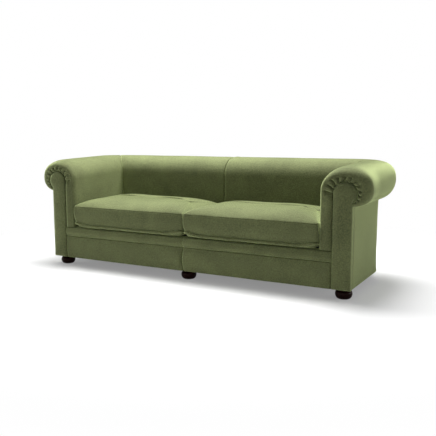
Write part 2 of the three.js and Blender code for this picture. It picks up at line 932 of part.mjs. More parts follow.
// Plan outline of a cushion about its middle: rounded corners, and sides drawn in between them
// except at the rear, where the zip runs straight.
function cushionPlan(halfWidth, halfDepth) {
  const radius = cushionCornerRadius;
  const cornerX = halfWidth - radius;
  const cornerY = halfDepth - radius;
  const corners = [
    { x: cornerX, y: -cornerY, from: -rightAngle, drawn: flat(-cushionDrawIn, 0) },
    { x: cornerX, y: cornerY, from: 0, drawn: flat(0, 0) },
    { x: -cornerX, y: cornerY, from: rightAngle, drawn: flat(cushionDrawIn, 0) },
    { x: -cornerX, y: -cornerY, from: Math.PI, drawn: flat(0, cushionDrawIn) },
  ];
  const outline = [];
  corners.forEach((corner, i) => {
    const turn = arc(corner.x, corner.y, radius, radius, corner.from, corner.from + rightAngle, 5);
    const next = corners[(i + 1) % corners.length];
    const start = turn[turn.length - 1];
    const end = flat(next.x + radius * Math.cos(next.from), next.y + radius * Math.sin(next.from));
    const side = drawInShares.map((share) =>
      start.clone().lerp(end, share).addScaledVector(corner.drawn, 1 - (2 * share - 1) ** 2),
    );
    outline.push(...turn, ...side);
  });
  return outline;
}

// A level line of the crown: the plan drawn in by a share, and rounder the nearer the top.
function crownLine(plan, halfWidth, halfDepth, share) {
  return plan.map((p) => {
    const corner = Math.hypot(p.x / halfWidth, p.y / halfDepth);
    const rounder = 1 + (crownRoundShare / corner - 1) * (1 - share);
    return p.clone().multiplyScalar(share * rounder);
  });
}

// Loose seat cushion: flat bed, boxed sides between two sewn seams and a full crown.
function seatCushion(middleX, middleY, halfWidth, halfDepth) {
  const bed = coverBottom;
  const seamLow = bed + cushionBottomSeam;
  const seamHigh = bed + cushionTopSeam;
  const planWidth = halfWidth - cushionSideBulge;
  const planDepth = halfDepth - cushionSideBulge;
  const plan = cushionPlan(planWidth, planDepth);
  const boxing = (share) => insetOutline(plan, -cushionSideBulge * Math.sin(Math.PI * share));
  const rows = [
    { outline: insetOutline(plan, cushionBottomRound), z: bed },
    { outline: insetOutline(plan, cushionBottomSeam / 2), z: bed + cushionBottomSeam / 3 },
    { outline: plan, z: seamLow - cushionSeamWidth / 2 },
    { outline: insetOutline(plan, cushionSeamDepth), z: seamLow },
  ];
  for (const share of boxingRowShares) {
    rows.push({ outline: boxing(share), z: seamLow + (seamHigh - seamLow) * share });
  }
  rows.push({ outline: insetOutline(plan, cushionSeamDepth), z: seamHigh });
  for (const share of crownRowShares) {
    const outline = crownLine(plan, planWidth, planDepth, share);
    rows.push({ outline, z: seamHigh + cushionCrown * (1 - share ** crownPower) });
  }
  const rings = rows.map(({ outline, z }) =>
    ring(outline, (x, y) => space(middleX + x, middleY + y, z)),
  );
  return loft(rings);
}

function toManifold(geometry) {
  const bare = geometry.clone();
  bare.deleteAttribute('normal');
  bare.deleteAttribute('uv');
  const merged = mergeVertices(bare);
  return new wasm.Manifold(
    new wasm.Mesh({
      numProp: 3,
      vertProperties: new Float32Array(merged.attributes.position.array),
      triVerts: new Uint32Array(merged.index.array),
    }),
  );
}

function fromManifold(solid) {
  const mesh = solid.getMesh();
  const geometry = new THREE.BufferGeometry();
  geometry.setAttribute('position', new THREE.Float32BufferAttribute(mesh.vertProperties, 3));
  geometry.setIndex(Array.from(mesh.triVerts));
  geometry.computeVertexNormals();
  return geometry;
}

// Zip slider: a waisted body on the cushion's rear boxing, with its pull hanging down.
function zipSlider(x, y, z) {
  const half = sliderLength / 2;
  const width = sliderWidth / 2;
  const plan = [
    flat(-half, -width * sliderNoseShare),
    flat(0, -width * sliderWaistShare),
    flat(half, -width),
    flat(half, width),
    flat(0, width * sliderWaistShare),
    flat(-half, width * sliderNoseShare),
  ];
  const body = board(plan, 0, sliderThickness - sliderBridge);
  const bridge = plank(
    -half / 2,
    half / 2,
    sliderThickness - sliderBridge - gap,
    sliderThickness,
    -pullWidth / 2,
    pullWidth / 2,
  );
  const pull = plank(
    -pullWidth / 2,
    pullWidth / 2,
    sliderThickness - pullThickness,
    sliderThickness,
    -pullLength,
    0,
  );
  const solid = toManifold(body).add(toManifold(bridge)).add(toManifold(pull));
  const geometry = fromManifold(solid);
  geometry.translate(x, y, z);
  return geometry;
}

function cushions() {
  const halfWidth = (armInside - 2 * cushionGap) / 2;
  const rear = backInside - cushionRearSpace;
  const halfDepth = (rear - frontMost) / 2;
  const middleY = (rear + frontMost) / 2;
  for (const { side, sign } of sides) {
    const middleX = (sign * armInside) / 2;
    add(`${side}_seat_cushion`, seatCushion(middleX, middleY, halfWidth, halfDepth), velvet);
    const height = coverBottom + zipHeight;
    add(`${side}_cushion_zip_slider`, zipSlider(middleX - zipStart, rear + gap, height), steel);
  }
}

function covers() {
  for (const { side, sign } of sides) {
    add(`${side}_arm_cover`, armCover(sign), velvet);
    add(`${side}_outside_arm_panel`, outsideArmPanel(sign), velvet);
    add(`${side}_facing`, facing(sign), velvet);
    add(`${side}_pleated_border`, pleatedBorder(sign), velvet);
  }
  add('back_cover', backCover(), velvet);
  add('outside_back_panel', outsideBackPanel(), velvet);
  add('front_lip', frontLip(), velvet);
  add('lower_front_panel', lowerFrontPanel(), velvet);
  add('dust_cover', dustCover(), lining);
}

baseFrame();
footBlocks();
upperFrame();
feet();
seatPlatform();
covers();
cushions();

export default sofa;
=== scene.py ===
"""Dresses the frame of a roll arm sofa: velvet covers, loose cushions, bun feet and a studio."""
import math

import bmesh
import bpy
from bpy.props import FloatProperty, FloatVectorProperty, IntProperty, PointerProperty
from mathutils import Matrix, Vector, noise


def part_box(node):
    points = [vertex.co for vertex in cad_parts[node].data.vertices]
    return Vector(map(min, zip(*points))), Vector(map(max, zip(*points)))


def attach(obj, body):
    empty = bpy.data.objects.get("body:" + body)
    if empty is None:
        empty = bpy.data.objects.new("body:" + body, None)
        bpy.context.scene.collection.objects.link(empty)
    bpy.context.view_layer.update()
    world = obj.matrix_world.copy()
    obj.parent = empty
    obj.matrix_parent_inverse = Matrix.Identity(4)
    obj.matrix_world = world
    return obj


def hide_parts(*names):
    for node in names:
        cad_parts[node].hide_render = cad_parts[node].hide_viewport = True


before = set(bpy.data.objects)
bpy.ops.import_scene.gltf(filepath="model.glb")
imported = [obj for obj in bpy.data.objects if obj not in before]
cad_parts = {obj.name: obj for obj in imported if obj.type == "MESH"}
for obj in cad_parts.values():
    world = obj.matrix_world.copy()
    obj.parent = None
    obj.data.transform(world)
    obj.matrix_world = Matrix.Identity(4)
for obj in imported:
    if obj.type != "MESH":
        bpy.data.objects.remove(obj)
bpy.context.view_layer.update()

bl_info = {
    "name": "Roll arm sofa",
    "version": (1, 0, 0),
    "blender": (4, 5, 0),
    "location": "3D View > Sidebar > Sofa",
    "description": "Covers the frame of a roll arm sofa in velvet and sets it in a studio",
    "category": "Object",
}

SIDES = (("left", -1), ("right", 1))
QUARTER = math.pi / 2

# Sizes read from the frame, in metres
BORDER_LOW, BORDER_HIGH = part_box("right_pleated_border")
BACK_LOW, BACK_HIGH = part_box("back_cover")
SIDE_PANEL_LOW, SIDE_PANEL_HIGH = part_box("right_outside_arm_panel")
REAR_PANEL_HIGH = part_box("outside_back_panel")[1]
FACING_LOW, FACING_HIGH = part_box("right_facing")
LIP_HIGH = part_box("front_lip")[1]
LINING_LOW, LINING_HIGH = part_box("dust_cover")

GAP = 0.0003
PAD_THICKNESS = 0.038
BACK_COLUMN = 0.195
PANEL_THICKNESS = 0.010
PANEL_TUCK = 0.034
FACING_CROWN = 0.010
NOSE_SWELL = 0.008
CORNER_RADIUS = 0.006
CORNER_FULLNESS = 0.6

TOP = BACK_HIGH.z
COVER_BOTTOM = BACK_LOW.z
ARM_INSIDE = BORDER_LOW.x
ARM_RADIUS = (BORDER_HIGH.x - BORDER_LOW.x - NOSE_SWELL) / 2
ARM_COLUMN = SIDE_PANEL_HIGH.x - ARM_INSIDE
BACK_INSIDE = REAR_PANEL_HIGH.y - BACK_COLUMN
BACK_RADIUS = (BACK_HIGH.y - BACK_INSIDE) / 2
BACK_RISE = 0.122
COLUMN_TOP = SIDE_PANEL_HIGH.z - PANEL_TUCK
PANEL_BOTTOM = SIDE_PANEL_LOW.z
PIVOT_X = REAR_PANEL_HIGH.x + GAP
PIVOT_Y = BACK_INSIDE - CORNER_RADIUS
FACING_BACK = BORDER_HIGH.y
FRONT_PLANE = FACING_LOW.y + FACING_CROWN
FACING_INSET = FACING_LOW.x - ARM_INSIDE
HEAD_WIDTH = FACING_HIGH.x - FACING_LOW.x
HEAD_HEIGHT = 0.122
HEAD_X = FACING_INSET + HEAD_WIDTH / 2
HEAD_Z = FACING_HIGH.z - HEAD_HEIGHT / 2

# Rolls: half-width, height above the widest line, column behind, and power of the curve over
# the top, where 2 is an ellipse
ROLL_POWER = 2.16
ARM_REAR_RISE = 0.118
BACK_ROLL = (BACK_RADIUS, BACK_RISE, BACK_COLUMN, ROLL_POWER)
ARM_DROOP = 0.018
ARM_DROOP_POWER = 1.15
NOSE_FULLNESS = 0.015
NOSE_SWELL_REACH = 0.220
SHOULDER_FRONT = 0.30
SHOULDER_REAR = 0.34

# Roundings of the arm's nose: how far each sinks the cover at the front, and its depth
NOSE_INSIDE = (0.020, 0.030)
NOSE_TOP = (0.045, 0.080)
NOSE_OUTSIDE = (0.044, 0.040)

# How the covers are sewn: depths and reaches of seams, pleats and hollows
MITRE_DEPTH = 0.004
MIDDLE_PUCKER = 0.0012
MIDDLE_CURL = 0.0035
EDGE_SINK = 0.0018
PANEL_BELLY = 0.0022
CORNER_HOLLOW = 0.011
BORDER_CROWN = 0.006
BORDER_FALL = 0.015
BORDER_FALL_REACH = 0.026
BORDER_SEAM_DEPTH = 0.004
PLEAT_REACH = 0.120
PLEAT_BEND = 0.022
PLEAT_LEAN = 0.18
SHARP_ANGLE = math.radians(50)

# Where the rings of a cover or the points of a section stand, closer together at its seams
ARM_PLACES = [0, 0.006, 0.013, 0.021, 0.03, 0.042, 0.056, 0.074]
BACK_PLACES = [0.0, 0.001, 0.002, 0.0035, 0.0055, 0.009, 0.015, 0.024, 0.036, 0.05, 0.07, 0.1]
PANEL_PLACES = [0.0, 0.002, 0.006, 0.014, 0.03, 0.06]
FRONT_PLACES = [0.0, 0.0006, 0.0018, 0.004, 0.007, 0.012, 0.018, 0.026, 0.04, 0.06, 0.09]
MITRE_TURNS = [0.05, 0.4, 0.9, 1.6, 2.6, 4, 6.5, 10, 15, 20, 25, 30, 35, 40]
CORNER_TURNS = [5, 10, 15, 22, 30, 38, 46, 54, 62, 70, 76, 82, 86, 88.5, 90]
FACING_INSETS = [0, 0.0004, 0.0012, 0.0025, 0.004, 0.006, 0.009, 0.013, 0.018, 0.024, 0.031]
FACING_INSETS += [0.038, 0.045]
PLEAT_PLACES = [0, 0.018, 0.045, 0.085, 0.15, 0.24, 0.35, 0.47, 0.59, 0.7, 0.8, 0.88, 0.94, 0.98]
NOSE_PLACES = [1, 0.8, 0.64, 0.52, 0.41, 0.31, 0.23, 0.16, 0.1, 0.056, 0.028, 0.012, 0.004, 0]

# How padding shows in a cover: share of the user's swell, size of its waves, and their seed
BROAD_PADDING = (1.0, 0.19, 0.0)
FRONT_PADDING = (0.5, 0.16, 2.0)
FACING_PADDING = (0.5, 0.07, 5.0)


def sofa_sizes():
    return bpy.context.scene.sofa_sizes


def clamped(value):
    return min(1.0, max(0.0, value))


def smooth(value):
    """Ease from 0 to 1 with no sudden start or stop."""
    held = clamped(value)
    return held * held * (3 - 2 * held)


def rounding(value):
    """Fall of a quarter round, from 0 where it starts to 1 at its edge."""
    held = clamped(value)
    return 1 - math.sqrt(1 - held * held)


def arch(share, power=1.0):
    """Rise from 0 to 1 halfway, and fall back to 0."""
    return math.sin(math.pi * clamped(share)) ** power


def bell(distance, reach):
    """Fall away from 1 at no distance to nearly 0 at twice the reach."""
    return math.exp(-((distance / reach) ** 2))


def spread(start, end, steps):
    return [start + (end - start) * i / steps for i in range(steps + 1)]


def arc(centre, radii, start, end, steps):
    """Points of an ellipse from one angle to another."""
    return [
        (centre[0] + radii[0] * math.cos(a), centre[1] + radii[1] * math.sin(a))
        for a in spread(start, end, steps)
    ]


def between(first, second, share):
    """Point of a plan or a section, at a share of the way from one to another."""
    return tuple(a + (b - a) * share for a, b in zip(first, second))


def wave(x, y, z):
    """Smooth noise at a place, between -1 and 1."""
    return noise.noise(Vector((x, y, z)))


# Meshes


def skin(rows, count, closed=False):
    """Quads between rows of as many points each; closed joins the last row to the first."""
    faces = []
    for row in range(rows if closed else rows - 1):
        near, far = row * count, ((row + 1) % rows) * count
        for i in range(count):
            j = (i + 1) % count
            faces.append((near + i, near + j, far + j, far + i))
    return faces


def band_end(start, count):
    """Close the end of a folded band, whose second half runs back along the first."""
    last = start + count - 1
    return [(start + i, start + i + 1, last - i - 1, last - i) for i in range(count // 2 - 1)]


def solid_end(start, count):
    return [tuple(range(start, start + count))]


def loft(rings, end=solid_end):
    """Points and faces of a closed body through a row of rings."""
    count = len(rings[0])
    faces = skin(len(rings), count) + end(0, count) + end((len(rings) - 1) * count, count)
    return [p for ring in rings for p in ring], faces


def gathered(parts):
    """Several closed bodies as the points and faces of one mesh."""
    points, faces = [], []
    for part_points, part_faces in parts:
        start = len(points)
        points += part_points
        faces += [tuple(start + i for i in face) for face in part_faces]
    return points, faces


def block(low, high, cut=0.0):
    """A block, with its edges cut off at the face towards the rear."""
    levels = [(low[1], 0.0), (high[1], cut)]
    if cut:
        levels.insert(1, (high[1] - cut, 0.0))
    rings = []
    for y, inset in levels:
        left, right, foot, top = low[0] + inset, high[0] - inset, low[2] + inset, high[2] - inset
        corners = ((left, foot), (left, top), (right, top), (right, foot))
        rings.append([Vector((x, y, z)) for x, z in corners])
    return loft(rings)


def mirrored(rings, sign):
    return [[Vector((sign * p[0], p[1], p[2])) for p in ring] for ring in rings]


def displace(piece, rise):
    """Move each point of a mesh along its normal, by what rise gives for the two."""
    mesh = piece.data
    normals = [Vector(n.vector) for n in mesh.vertex_normals]
    for vertex, normal in zip(mesh.vertices, normals):
        vertex.co += normal * rise(vertex.co, normal)


def make_piece(name, form, finish_name, replaced=None, body="frame"):
    """Put one closed mesh in the scene, smooth, facing out, and riding on its body."""
    points, faces = form
    mesh = bpy.data.meshes.new(name)
    mesh.from_pydata([tuple(p) for p in points], [], faces)
    shell = bmesh.new()
    shell.from_mesh(mesh)
    bmesh.ops.recalc_face_normals(shell, faces=shell.faces)
    shell.to_mesh(mesh)
    shell.free()
    mesh.shade_smooth()
    mesh.set_sharp_from_angle(angle=SHARP_ANGLE)
    material, slot = finish(finish_name)
    mesh.materials.append(material)
    piece = bpy.data.objects.new(name, mesh)
    bpy.context.scene.collection.objects.link(piece)
    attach(piece, body)
    if replaced:
        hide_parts(replaced)
    return piece


def sew_cover(name, rings, end=band_end, padding=BROAD_PADDING):
    """Make the velvet cover that stands for a part of the frame, with its padding showing."""
    piece = make_piece(f"{name}_velvet", loft(rings, end), "velvet", name)
    if padding:
        share, size, seed = padding
        depth, shift = share * sofa_sizes().cover_swell, Vector((seed, seed, seed))
        displace(piece, lambda place, _: depth * noise.noise(place / size + shift))


# Shapes that several covers share


def over_point(roll, turn, inside=0.0, top=0.0, outside=0.0):
    """Point of a roll's curve over the top, by its turn from the outermost line."""
    radius, rise, _, power = roll
    outer = math.cos(turn) > 0
    if outer:
        power += SHOULDER_FRONT + (SHOULDER_REAR - SHOULDER_FRONT) * (power - 2) / (ROLL_POWER - 2)
    across = math.copysign(abs(math.cos(turn)) ** (2 / power), math.cos(turn))
    up = abs(math.sin(turn)) ** (2 / power)
    side = outside if outer else inside
    return radius + (radius - side) * across, TOP - rise + (rise - top) * up


def under_point(roll, turn, inside=0.0, outside=0.0):
    """Point of a roll's curve in under it, by its turn from the outermost line."""
    radius, rise, column, _ = roll
    reach = 2 * radius - column - GAP - outside
    drop = TOP - rise - COLUMN_TOP - inside
    return column + GAP + reach * math.cos(turn), TOP - rise - drop * math.sin(turn)


def roll_outline(roll, inside=0.0, top=0.0, outside=0.0):
    """Outline of a roll, as (distance from the inside face, height): up, over and in under.

    It can be sunk by a distance of its own at its inner side, its top and its outer side.
    """
    face = [(inside, z) for z in spread(COVER_BOTTOM, TOP - roll[1], 22)]
    over = [over_point(roll, a, inside, top, outside) for a in spread(math.pi, 0, 44)]
    below = [under_point(roll, a, inside, outside) for a in spread(0, QUARTER, 14)]
    return face + over[1:] + below[1:]


def lining_outline(roll):
    return roll_outline(roll, *[PAD_THICKNESS] * 3)


def padded_section(outer, roll):
    """Section of a roll's padded cover: its outside, and back along its lining."""
    return outer + list(reversed(lining_outline(roll)))


def arm_roll(y):
    """An arm's roll at a distance from the front: round there, a little flatter at its rear."""
    share = clamped((y - FACING_BACK) / (PIVOT_Y - FACING_BACK))
    rise = ARM_RADIUS + (ARM_REAR_RISE - ARM_RADIUS) * share * share
    return ARM_RADIUS, rise, ARM_COLUMN, 2 + (ROLL_POWER - 2) * share


def arm_place(d, z, y):
    """Place of a point of the right arm's roll, which sinks and swells out towards its nose."""
    share = max(0.0, (PIVOT_Y - y) / (PIVOT_Y - FACING_BACK))
    sunk = ARM_DROOP / (TOP - COLUMN_TOP) * share**ARM_DROOP_POWER
    beyond = smooth((d - ARM_COLUMN) / (2 * ARM_RADIUS - ARM_COLUMN))
    swelled = NOSE_FULLNESS * beyond * smooth(1 - (y - FACING_BACK) / NOSE_SWELL_REACH)
    return Vector((ARM_INSIDE + d + swelled, y, z - max(0.0, z - COLUMN_TOP) * sunk))


def nose_insets(y):
    """How far the rounding of the arm's nose sinks its inner side, its top and its outer side."""
    return [
        size * rounding((FRONT_PLANE + depth - y) / depth)
        for size, depth in (NOSE_INSIDE, NOSE_TOP, NOSE_OUTSIDE)
    ]


def corner_point(arm_point, back_point, turn):
    """Place of a point of the section, turned about the inside corner from arm to back."""
    beyond = max(0.0, arm_point[0] - ARM_COLUMN) / (2 * ARM_RADIUS - ARM_COLUMN)
    power = 2 + CORNER_FULLNESS * beyond
    return Vector((
        PIVOT_X + (CORNER_RADIUS + arm_point[0]) * math.cos(turn) ** (2 / power),
        PIVOT_Y + (CORNER_RADIUS + back_point[0]) * math.sin(turn) ** (2 / power),
        arm_point[1] + (back_point[1] - arm_point[1]) * turn / QUARTER,
    ))


def corner_rings(from_seam):
    """Rings between the mitre seam and one end of the corner, drawn in at the seam."""
    rings = []
    for degrees in MITRE_TURNS:
        turn = math.radians(45 + from_seam * degrees)
        inset = MITRE_DEPTH * bell(degrees, 1.8)
        arm, back = (
            padded_section(roll_outline(roll, *[inset] * 3), roll)
            for roll in (arm_roll(PIVOT_Y), BACK_ROLL)
        )
        rings.append([corner_point(a, b, turn) for a, b in zip(arm, back)])
    return rings


# Shader nodes


def node(tree, kind, inputs=None, **settings):
    """Add one shader node; an input is given a value, or a socket to be linked from."""
    made = tree.nodes.new("ShaderNode" + kind)
    for key, value in settings.items():
        setattr(made, key, value)
    for key, value in (inputs or {}).items():
        if isinstance(value, bpy.types.NodeSocket):
            tree.links.new(value, made.inputs[key])
        else:
            made.inputs[key].default_value = value
    return made


def worked(tree, operation, *values):
    return node(tree, "Math", dict(enumerate(values)), operation=operation).outputs[0]


def mottle(tree, place, scale, **more):
    """Noise of the given size over the surface."""
    return node(tree, "TexNoise", {"Vector": place, "Scale": scale, **more}).outputs[0]


def contrast(tree, value, low, high):
    """Stretch the middle of a noise so that low and high become 0 and 1."""
    return node(tree, "MapRange", {0: value, 1: low, 2: high, 3: 0.0, 4: 1.0}).outputs[0]


def mixed(tree, share, first, second):
    return node(tree, "Mix", {0: share, 2: first, 3: second}, data_type="FLOAT").outputs[0]


def mixed_colour(tree, share, first, second):
    return node(tree, "Mix", {0: share, 6: first, 7: second}, data_type="RGBA").outputs[2]


def brushed_pile(tree, place, given):
    """A fine grain over soft patches where the nap has been brushed."""
    grain = mottle(tree, place, given["Grain Scale"], Detail=3.0, Roughness=0.65)
    patch = mottle(tree, place, given["Patch Scale"], Detail=4.0, Distortion=0.6)
    clear_grain, clear_patch = (contrast(tree, value, 0.3, 0.7) for value in (grain, patch))
    share = mixed(tree, given["Patch Share"], clear_grain, clear_patch)
    colour = mixed_colour(tree, share, given["Shade"], given["Light"])
    return {"Color": colour, "Height": clear_grain}


def timber_grain(tree, place, given):
    """Growth rings stretched along the board, with fine pores."""
    run = node(tree, "VectorMath", {0: place, 1: given["Run"]}, operation="MULTIPLY").outputs[0]
    rings = mottle(tree, run, given["Ring Scale"], Detail=2.0, Distortion=1.4)
    bands = worked(tree, "SINE", worked(tree, "MULTIPLY", rings, 26.0))
    pores = mottle(tree, run, 900.0, Detail=2.0, Roughness=0.7)
    fine = worked(tree, "MULTIPLY", pores, 0.25)
    share = worked(tree, "ADD", contrast(tree, bands, -1.4, 1.8), fine)
    colour = mixed_colour(tree, share, given["Early Wood"], given["Late Wood"])
    return {"Color": colour, "Height": pores}


def plain_weave(tree, place, given):
    """Crossed threads over and under each other."""
    parts = node(tree, "SeparateXYZ", {0: place}).outputs
    threads = []
    for axis in range(2):
        across = worked(tree, "MULTIPLY", parts[axis], given["Threads per Metre"])
        thread = worked(tree, "SINE", worked(tree, "MULTIPLY", across, math.pi))
        threads.append(worked(tree, "ABSOLUTE", thread))
    both = worked(tree, "MULTIPLY", *threads)
    slub = worked(tree, "MULTIPLY", both, mottle(tree, place, 60.0, Detail=3.0))
    share = contrast(tree, slub, 0.0, 0.6)
    colour = mixed_colour(tree, share, given["Hollow"], given["Thread"])
    return {"Color": colour, "Height": both}


def rubbed_patches(tree, place, given):
    """Smudges and dust that make a hard finish rougher in places."""
    patch = mottle(tree, place, given["Patch Scale"], Detail=5.0, Roughness=0.6)
    mask = contrast(tree, patch, 0.35, 0.7)
    return {"Roughness": mixed(tree, mask, given["Least"], given["Most"])}


# Effects that several finishes share, as groups with these inputs
DARK, PALE = (0.1, 0.1, 0.1, 1.0), (0.3, 0.3, 0.3, 1.0)
NAP = {"Grain Scale": 500.0, "Patch Scale": 7.0, "Patch Share": 0.4}
EFFECTS = {
    "Brushed pile": (brushed_pile, {"Shade": DARK, "Light": PALE, **NAP}),
    "Timber grain": (
        timber_grain,
        {"Early Wood": PALE, "Late Wood": DARK, "Run": (1.0, 1.0, 1.0), "Ring Scale": 30.0},
    ),
    "Plain weave": (plain_weave, {"Thread": PALE, "Hollow": DARK, "Threads per Metre": 900.0}),
    "Rubbed patches": (rubbed_patches, {"Least": 0.2, "Most": 0.5, "Patch Scale": 20.0}),
}
COLOUR_SIZE, VECTOR_SIZE = 4, 3
_groups = {}
_finishes = {}


def socket_kind(value):
    kinds = {COLOUR_SIZE: "Color", VECTOR_SIZE: "Vector"}
    return "NodeSocket" + (kinds[len(value)] if isinstance(value, tuple) else "Float")


def effect_group(name):
    """The node group of a shared effect, with named inputs and outputs, built once."""
    if name in _groups:
        return _groups[name]
    build, inputs = EFFECTS[name]
    tree = _groups[name] = bpy.data.node_groups.new(name, "ShaderNodeTree")
    for label, value in inputs.items():
        kind = socket_kind(value)
        socket = tree.interface.new_socket(name=label, in_out="INPUT", socket_type=kind)
        socket.default_value = value
    given = tree.nodes.new("NodeGroupInput").outputs
    results = build(tree, node(tree, "TexCoord").outputs["Object"], given)
    for label in results:
        kind = "NodeSocketColor" if label == "Color" else "NodeSocketFloat"
        tree.interface.new_socket(name=label, in_out="OUTPUT", socket_type=kind)
    out = tree.nodes.new("NodeGroupOutput")
    for label, socket in results.items():
        tree.links.new(socket, out.inputs[label])
    return tree


def effect(tree, name, values):
    """Place a shared effect in a material, with that material's own values."""
    placed = tree.nodes.new("ShaderNodeGroup")
    placed.node_tree = effect_group(name)
    for key, value in values.items():
        placed.inputs[key].default_value = value
    return placed.outputs


# Finishes


def new_material(name, values, surface, bump=None, rubbed=None):
    """A material with one Principled shader, the effect of its surface, and its wear.

    bump is the strength and distance of the surface's relief, and rubbed the least and most
    roughness and the scale of its rubbed patches.
    """
    material = bpy.data.materials.new(name)
    material.use_nodes = True
    tree = material.node_tree
    shader = tree.nodes["Principled BSDF"].inputs
    for key, value in values.items():
        shader[key].default_value = value
    shown = effect(tree, *surface)
    tree.links.new(shown["Color"], shader["Base Color"])
    if rubbed:
        least, most, scale = rubbed
        worn = effect(tree, "Rubbed patches", {"Least": least, "Most": most, "Patch Scale": scale})
        tree.links.new(worn["Roughness"], shader["Roughness"])
    if bump:
        relief = {"Height": shown["Height"], "Strength": bump[0], "Distance": bump[1]}
        tree.links.new(node(tree, "Bump", relief).outputs[0], shader["Normal"])
    return material


def shade(colour, factor):
    return (colour[0] * factor, colour[1] * factor, colour[2] * factor, 1.0)


def pile(colour, dark, light, grain_scale, patch_scale, patch_share):
    values = {"Shade": shade(colour, dark), "Light": shade(colour, light)}
    values |= {"Grain Scale": grain_scale, "Patch Scale": patch_scale, "Patch Share": patch_share}
    return "Brushed pile", values


def velvet(colours):
    """Cut velvet: dark seen square on, and lit along its pile at a glance."""
    values = {
        "Roughness": 0.85,
        "Specular IOR Level": 0.15,
        "Sheen Weight": colours.velvet_sheen,
        "Sheen Roughness": 0.38,
        "Sheen Tint": shade(colours.velvet_tip, 1.0),
    }
    surface = pile(colours.velvet, 0.5, 1.5, 150.0, 6.0, 0.3)
    return new_material("Velvet", values, surface, (0.5, 0.0018))


def steel(colours):
    """Zinc-plated spring steel, dulled where it has been handled."""
    surface = pile(colours.steel, 0.8, 1.1, 260.0, 30.0, 0.6)
    return new_material(
        "Plated steel", {"Metallic": 1.0}, surface, (0.05, 0.0002), (0.26, 0.5, 60.0)
    )


def wood(name, values, early, late, run, ring_scale, bump, rubbed):
    grain = {"Early Wood": early, "Late Wood": late, "Run": run, "Ring Scale": ring_scale}
    return new_material(name, values, ("Timber grain", grain), bump, rubbed)


def stained_wood(colours):
    """Turned hardwood under dark brown lacquer."""
    values = {"Coat Weight": 0.03, "Coat Roughness": 0.12, "Specular IOR Level": 0.04}
    early, late = shade(colours.foot, 1.35), shade(colours.foot, 0.7)
    return wood(
        "Dark lacquered wood", values, early, late, (1.0, 1.0, 0.12), 24.0,
        (0.12, 0.0006), (0.24, 0.42, 26.0),
    )


def raw_timber(name, run):
    """Sawn softwood, its grain running the way the rail does."""
    return lambda colours: wood(
        name, {"Specular IOR Level": 0.3}, shade(colours.timber, 1.12),
        shade(colours.timber, 0.68), run, 14.0, (0.4, 0.001), (0.62, 0.85, 12.0),
    )


def plywood(colours):
    """Birch plywood: thin sheets in turn along and across."""
    return wood(
        "Birch plywood", {"Specular IOR Level": 0.3}, shade(colours.timber, 1.3),
        shade(colours.timber, 0.95), (1.0, 6.0, 0.25), 9.0, (0.3, 0.0008), (0.55, 0.75, 15.0),
    )


def cloth(name, colour_key, threads):
    """Plain lining cloth."""
    def made(colours):
        colour = getattr(colours, colour_key)
        values = {"Roughness": 0.9, "Specular IOR Level": 0.2, "Sheen Weight": 0.15}
        weave = {"Thread": shade(colour, 1.2), "Hollow": shade(colour, 0.45)}
        weave["Threads per Metre"] = threads
        return new_material(name, values, ("Plain weave", weave), (0.5, 0.0008))
    return made


# Each finish's material, and the slot that it belongs to
FINISHES = {
    "velvet": (velvet, "velvet"),
    "stained_wood": (stained_wood, "stained_wood"),
    "timber_across": (raw_timber("Softwood across", (0.06, 1.0, 1.0)), "timber"),
    "timber_deep": (raw_timber("Softwood front to rear", (1.0, 0.06, 1.0)), "timber"),
    "timber_upright": (raw_timber("Softwood upright", (1.0, 1.0, 0.06)), "timber"),
    "plywood": (plywood, "plywood"),
    "steel": (steel, "steel"),
    "lining": (cloth("Black lining", "lining", 700.0), "lining"),
    "deck_cloth": (cloth("Platform cloth", "deck", 420.0), "lining"),
    "zip_tape": (cloth("Zip tape", "tape", 1400.0), "lining"),
}


def finish(name):
    """A finish's material, made once, and its slot."""
    make, slot = FINISHES[name]
    if name not in _finishes:
        _finishes[name] = make(bpy.context.scene.sofa_colours)
    return _finishes[name], slot


def backdrop_rays(tree):
    """1 for rays that show the backdrop, straight, in gloss or through glass, and 0 for light."""
    rays = node(tree, "LightPath").outputs
    seen = worked(tree, "ADD", rays["Is Camera Ray"], rays["Is Glossy Ray"])
    seen = worked(tree, "ADD", seen, rays["Is Transmission Ray"])
    return worked(tree, "MINIMUM", seen, 1.0)


def floor_paint(colours):
    """Pale floor that shows the sofa's shadow and runs out into the white backdrop."""
    surface = pile(colours.floor, 0.985, 1.0, 90.0, 1.2, 0.5)
    material = new_material("Pale floor", {"Roughness": 0.9, "Specular IOR Level": 0.0}, surface)
    tree = material.node_tree
    place = node(tree, "TexCoord").outputs["Object"]
    middle = (0.0, 0.0, 0.0)
    far = node(tree, "VectorMath", {0: place, 1: middle}, operation="DISTANCE").outputs[1]
    reach = node(tree, "MapRange", {0: far, 1: 1.2, 2: 2.4, 3: 0.25, 4: 1.0}).outputs[0]
    share = worked(tree, "MULTIPLY", reach, backdrop_rays(tree))
    white = node(tree, "Emission", {"Color": (1.0, 1.0, 1.0, 1.0), "Strength": 1.0}).outputs[0]
    painted = tree.nodes["Principled BSDF"].outputs[0]
    blend = node(tree, "MixShader", {0: share, 1: painted, 2: white}).outputs[0]
    tree.links.new(blend, tree.nodes["Material Output"].inputs["Surface"])
    return material


# Sizes and colours that a user would change


def length_property(name, description, value):
    return FloatProperty(name=name, description=description, default=value, unit="LENGTH")


def colour_property(name, description, value):
    return FloatVectorProperty(
        name=name, description=description, default=value, subtype="COLOR", size=3, min=0, max=1
    )


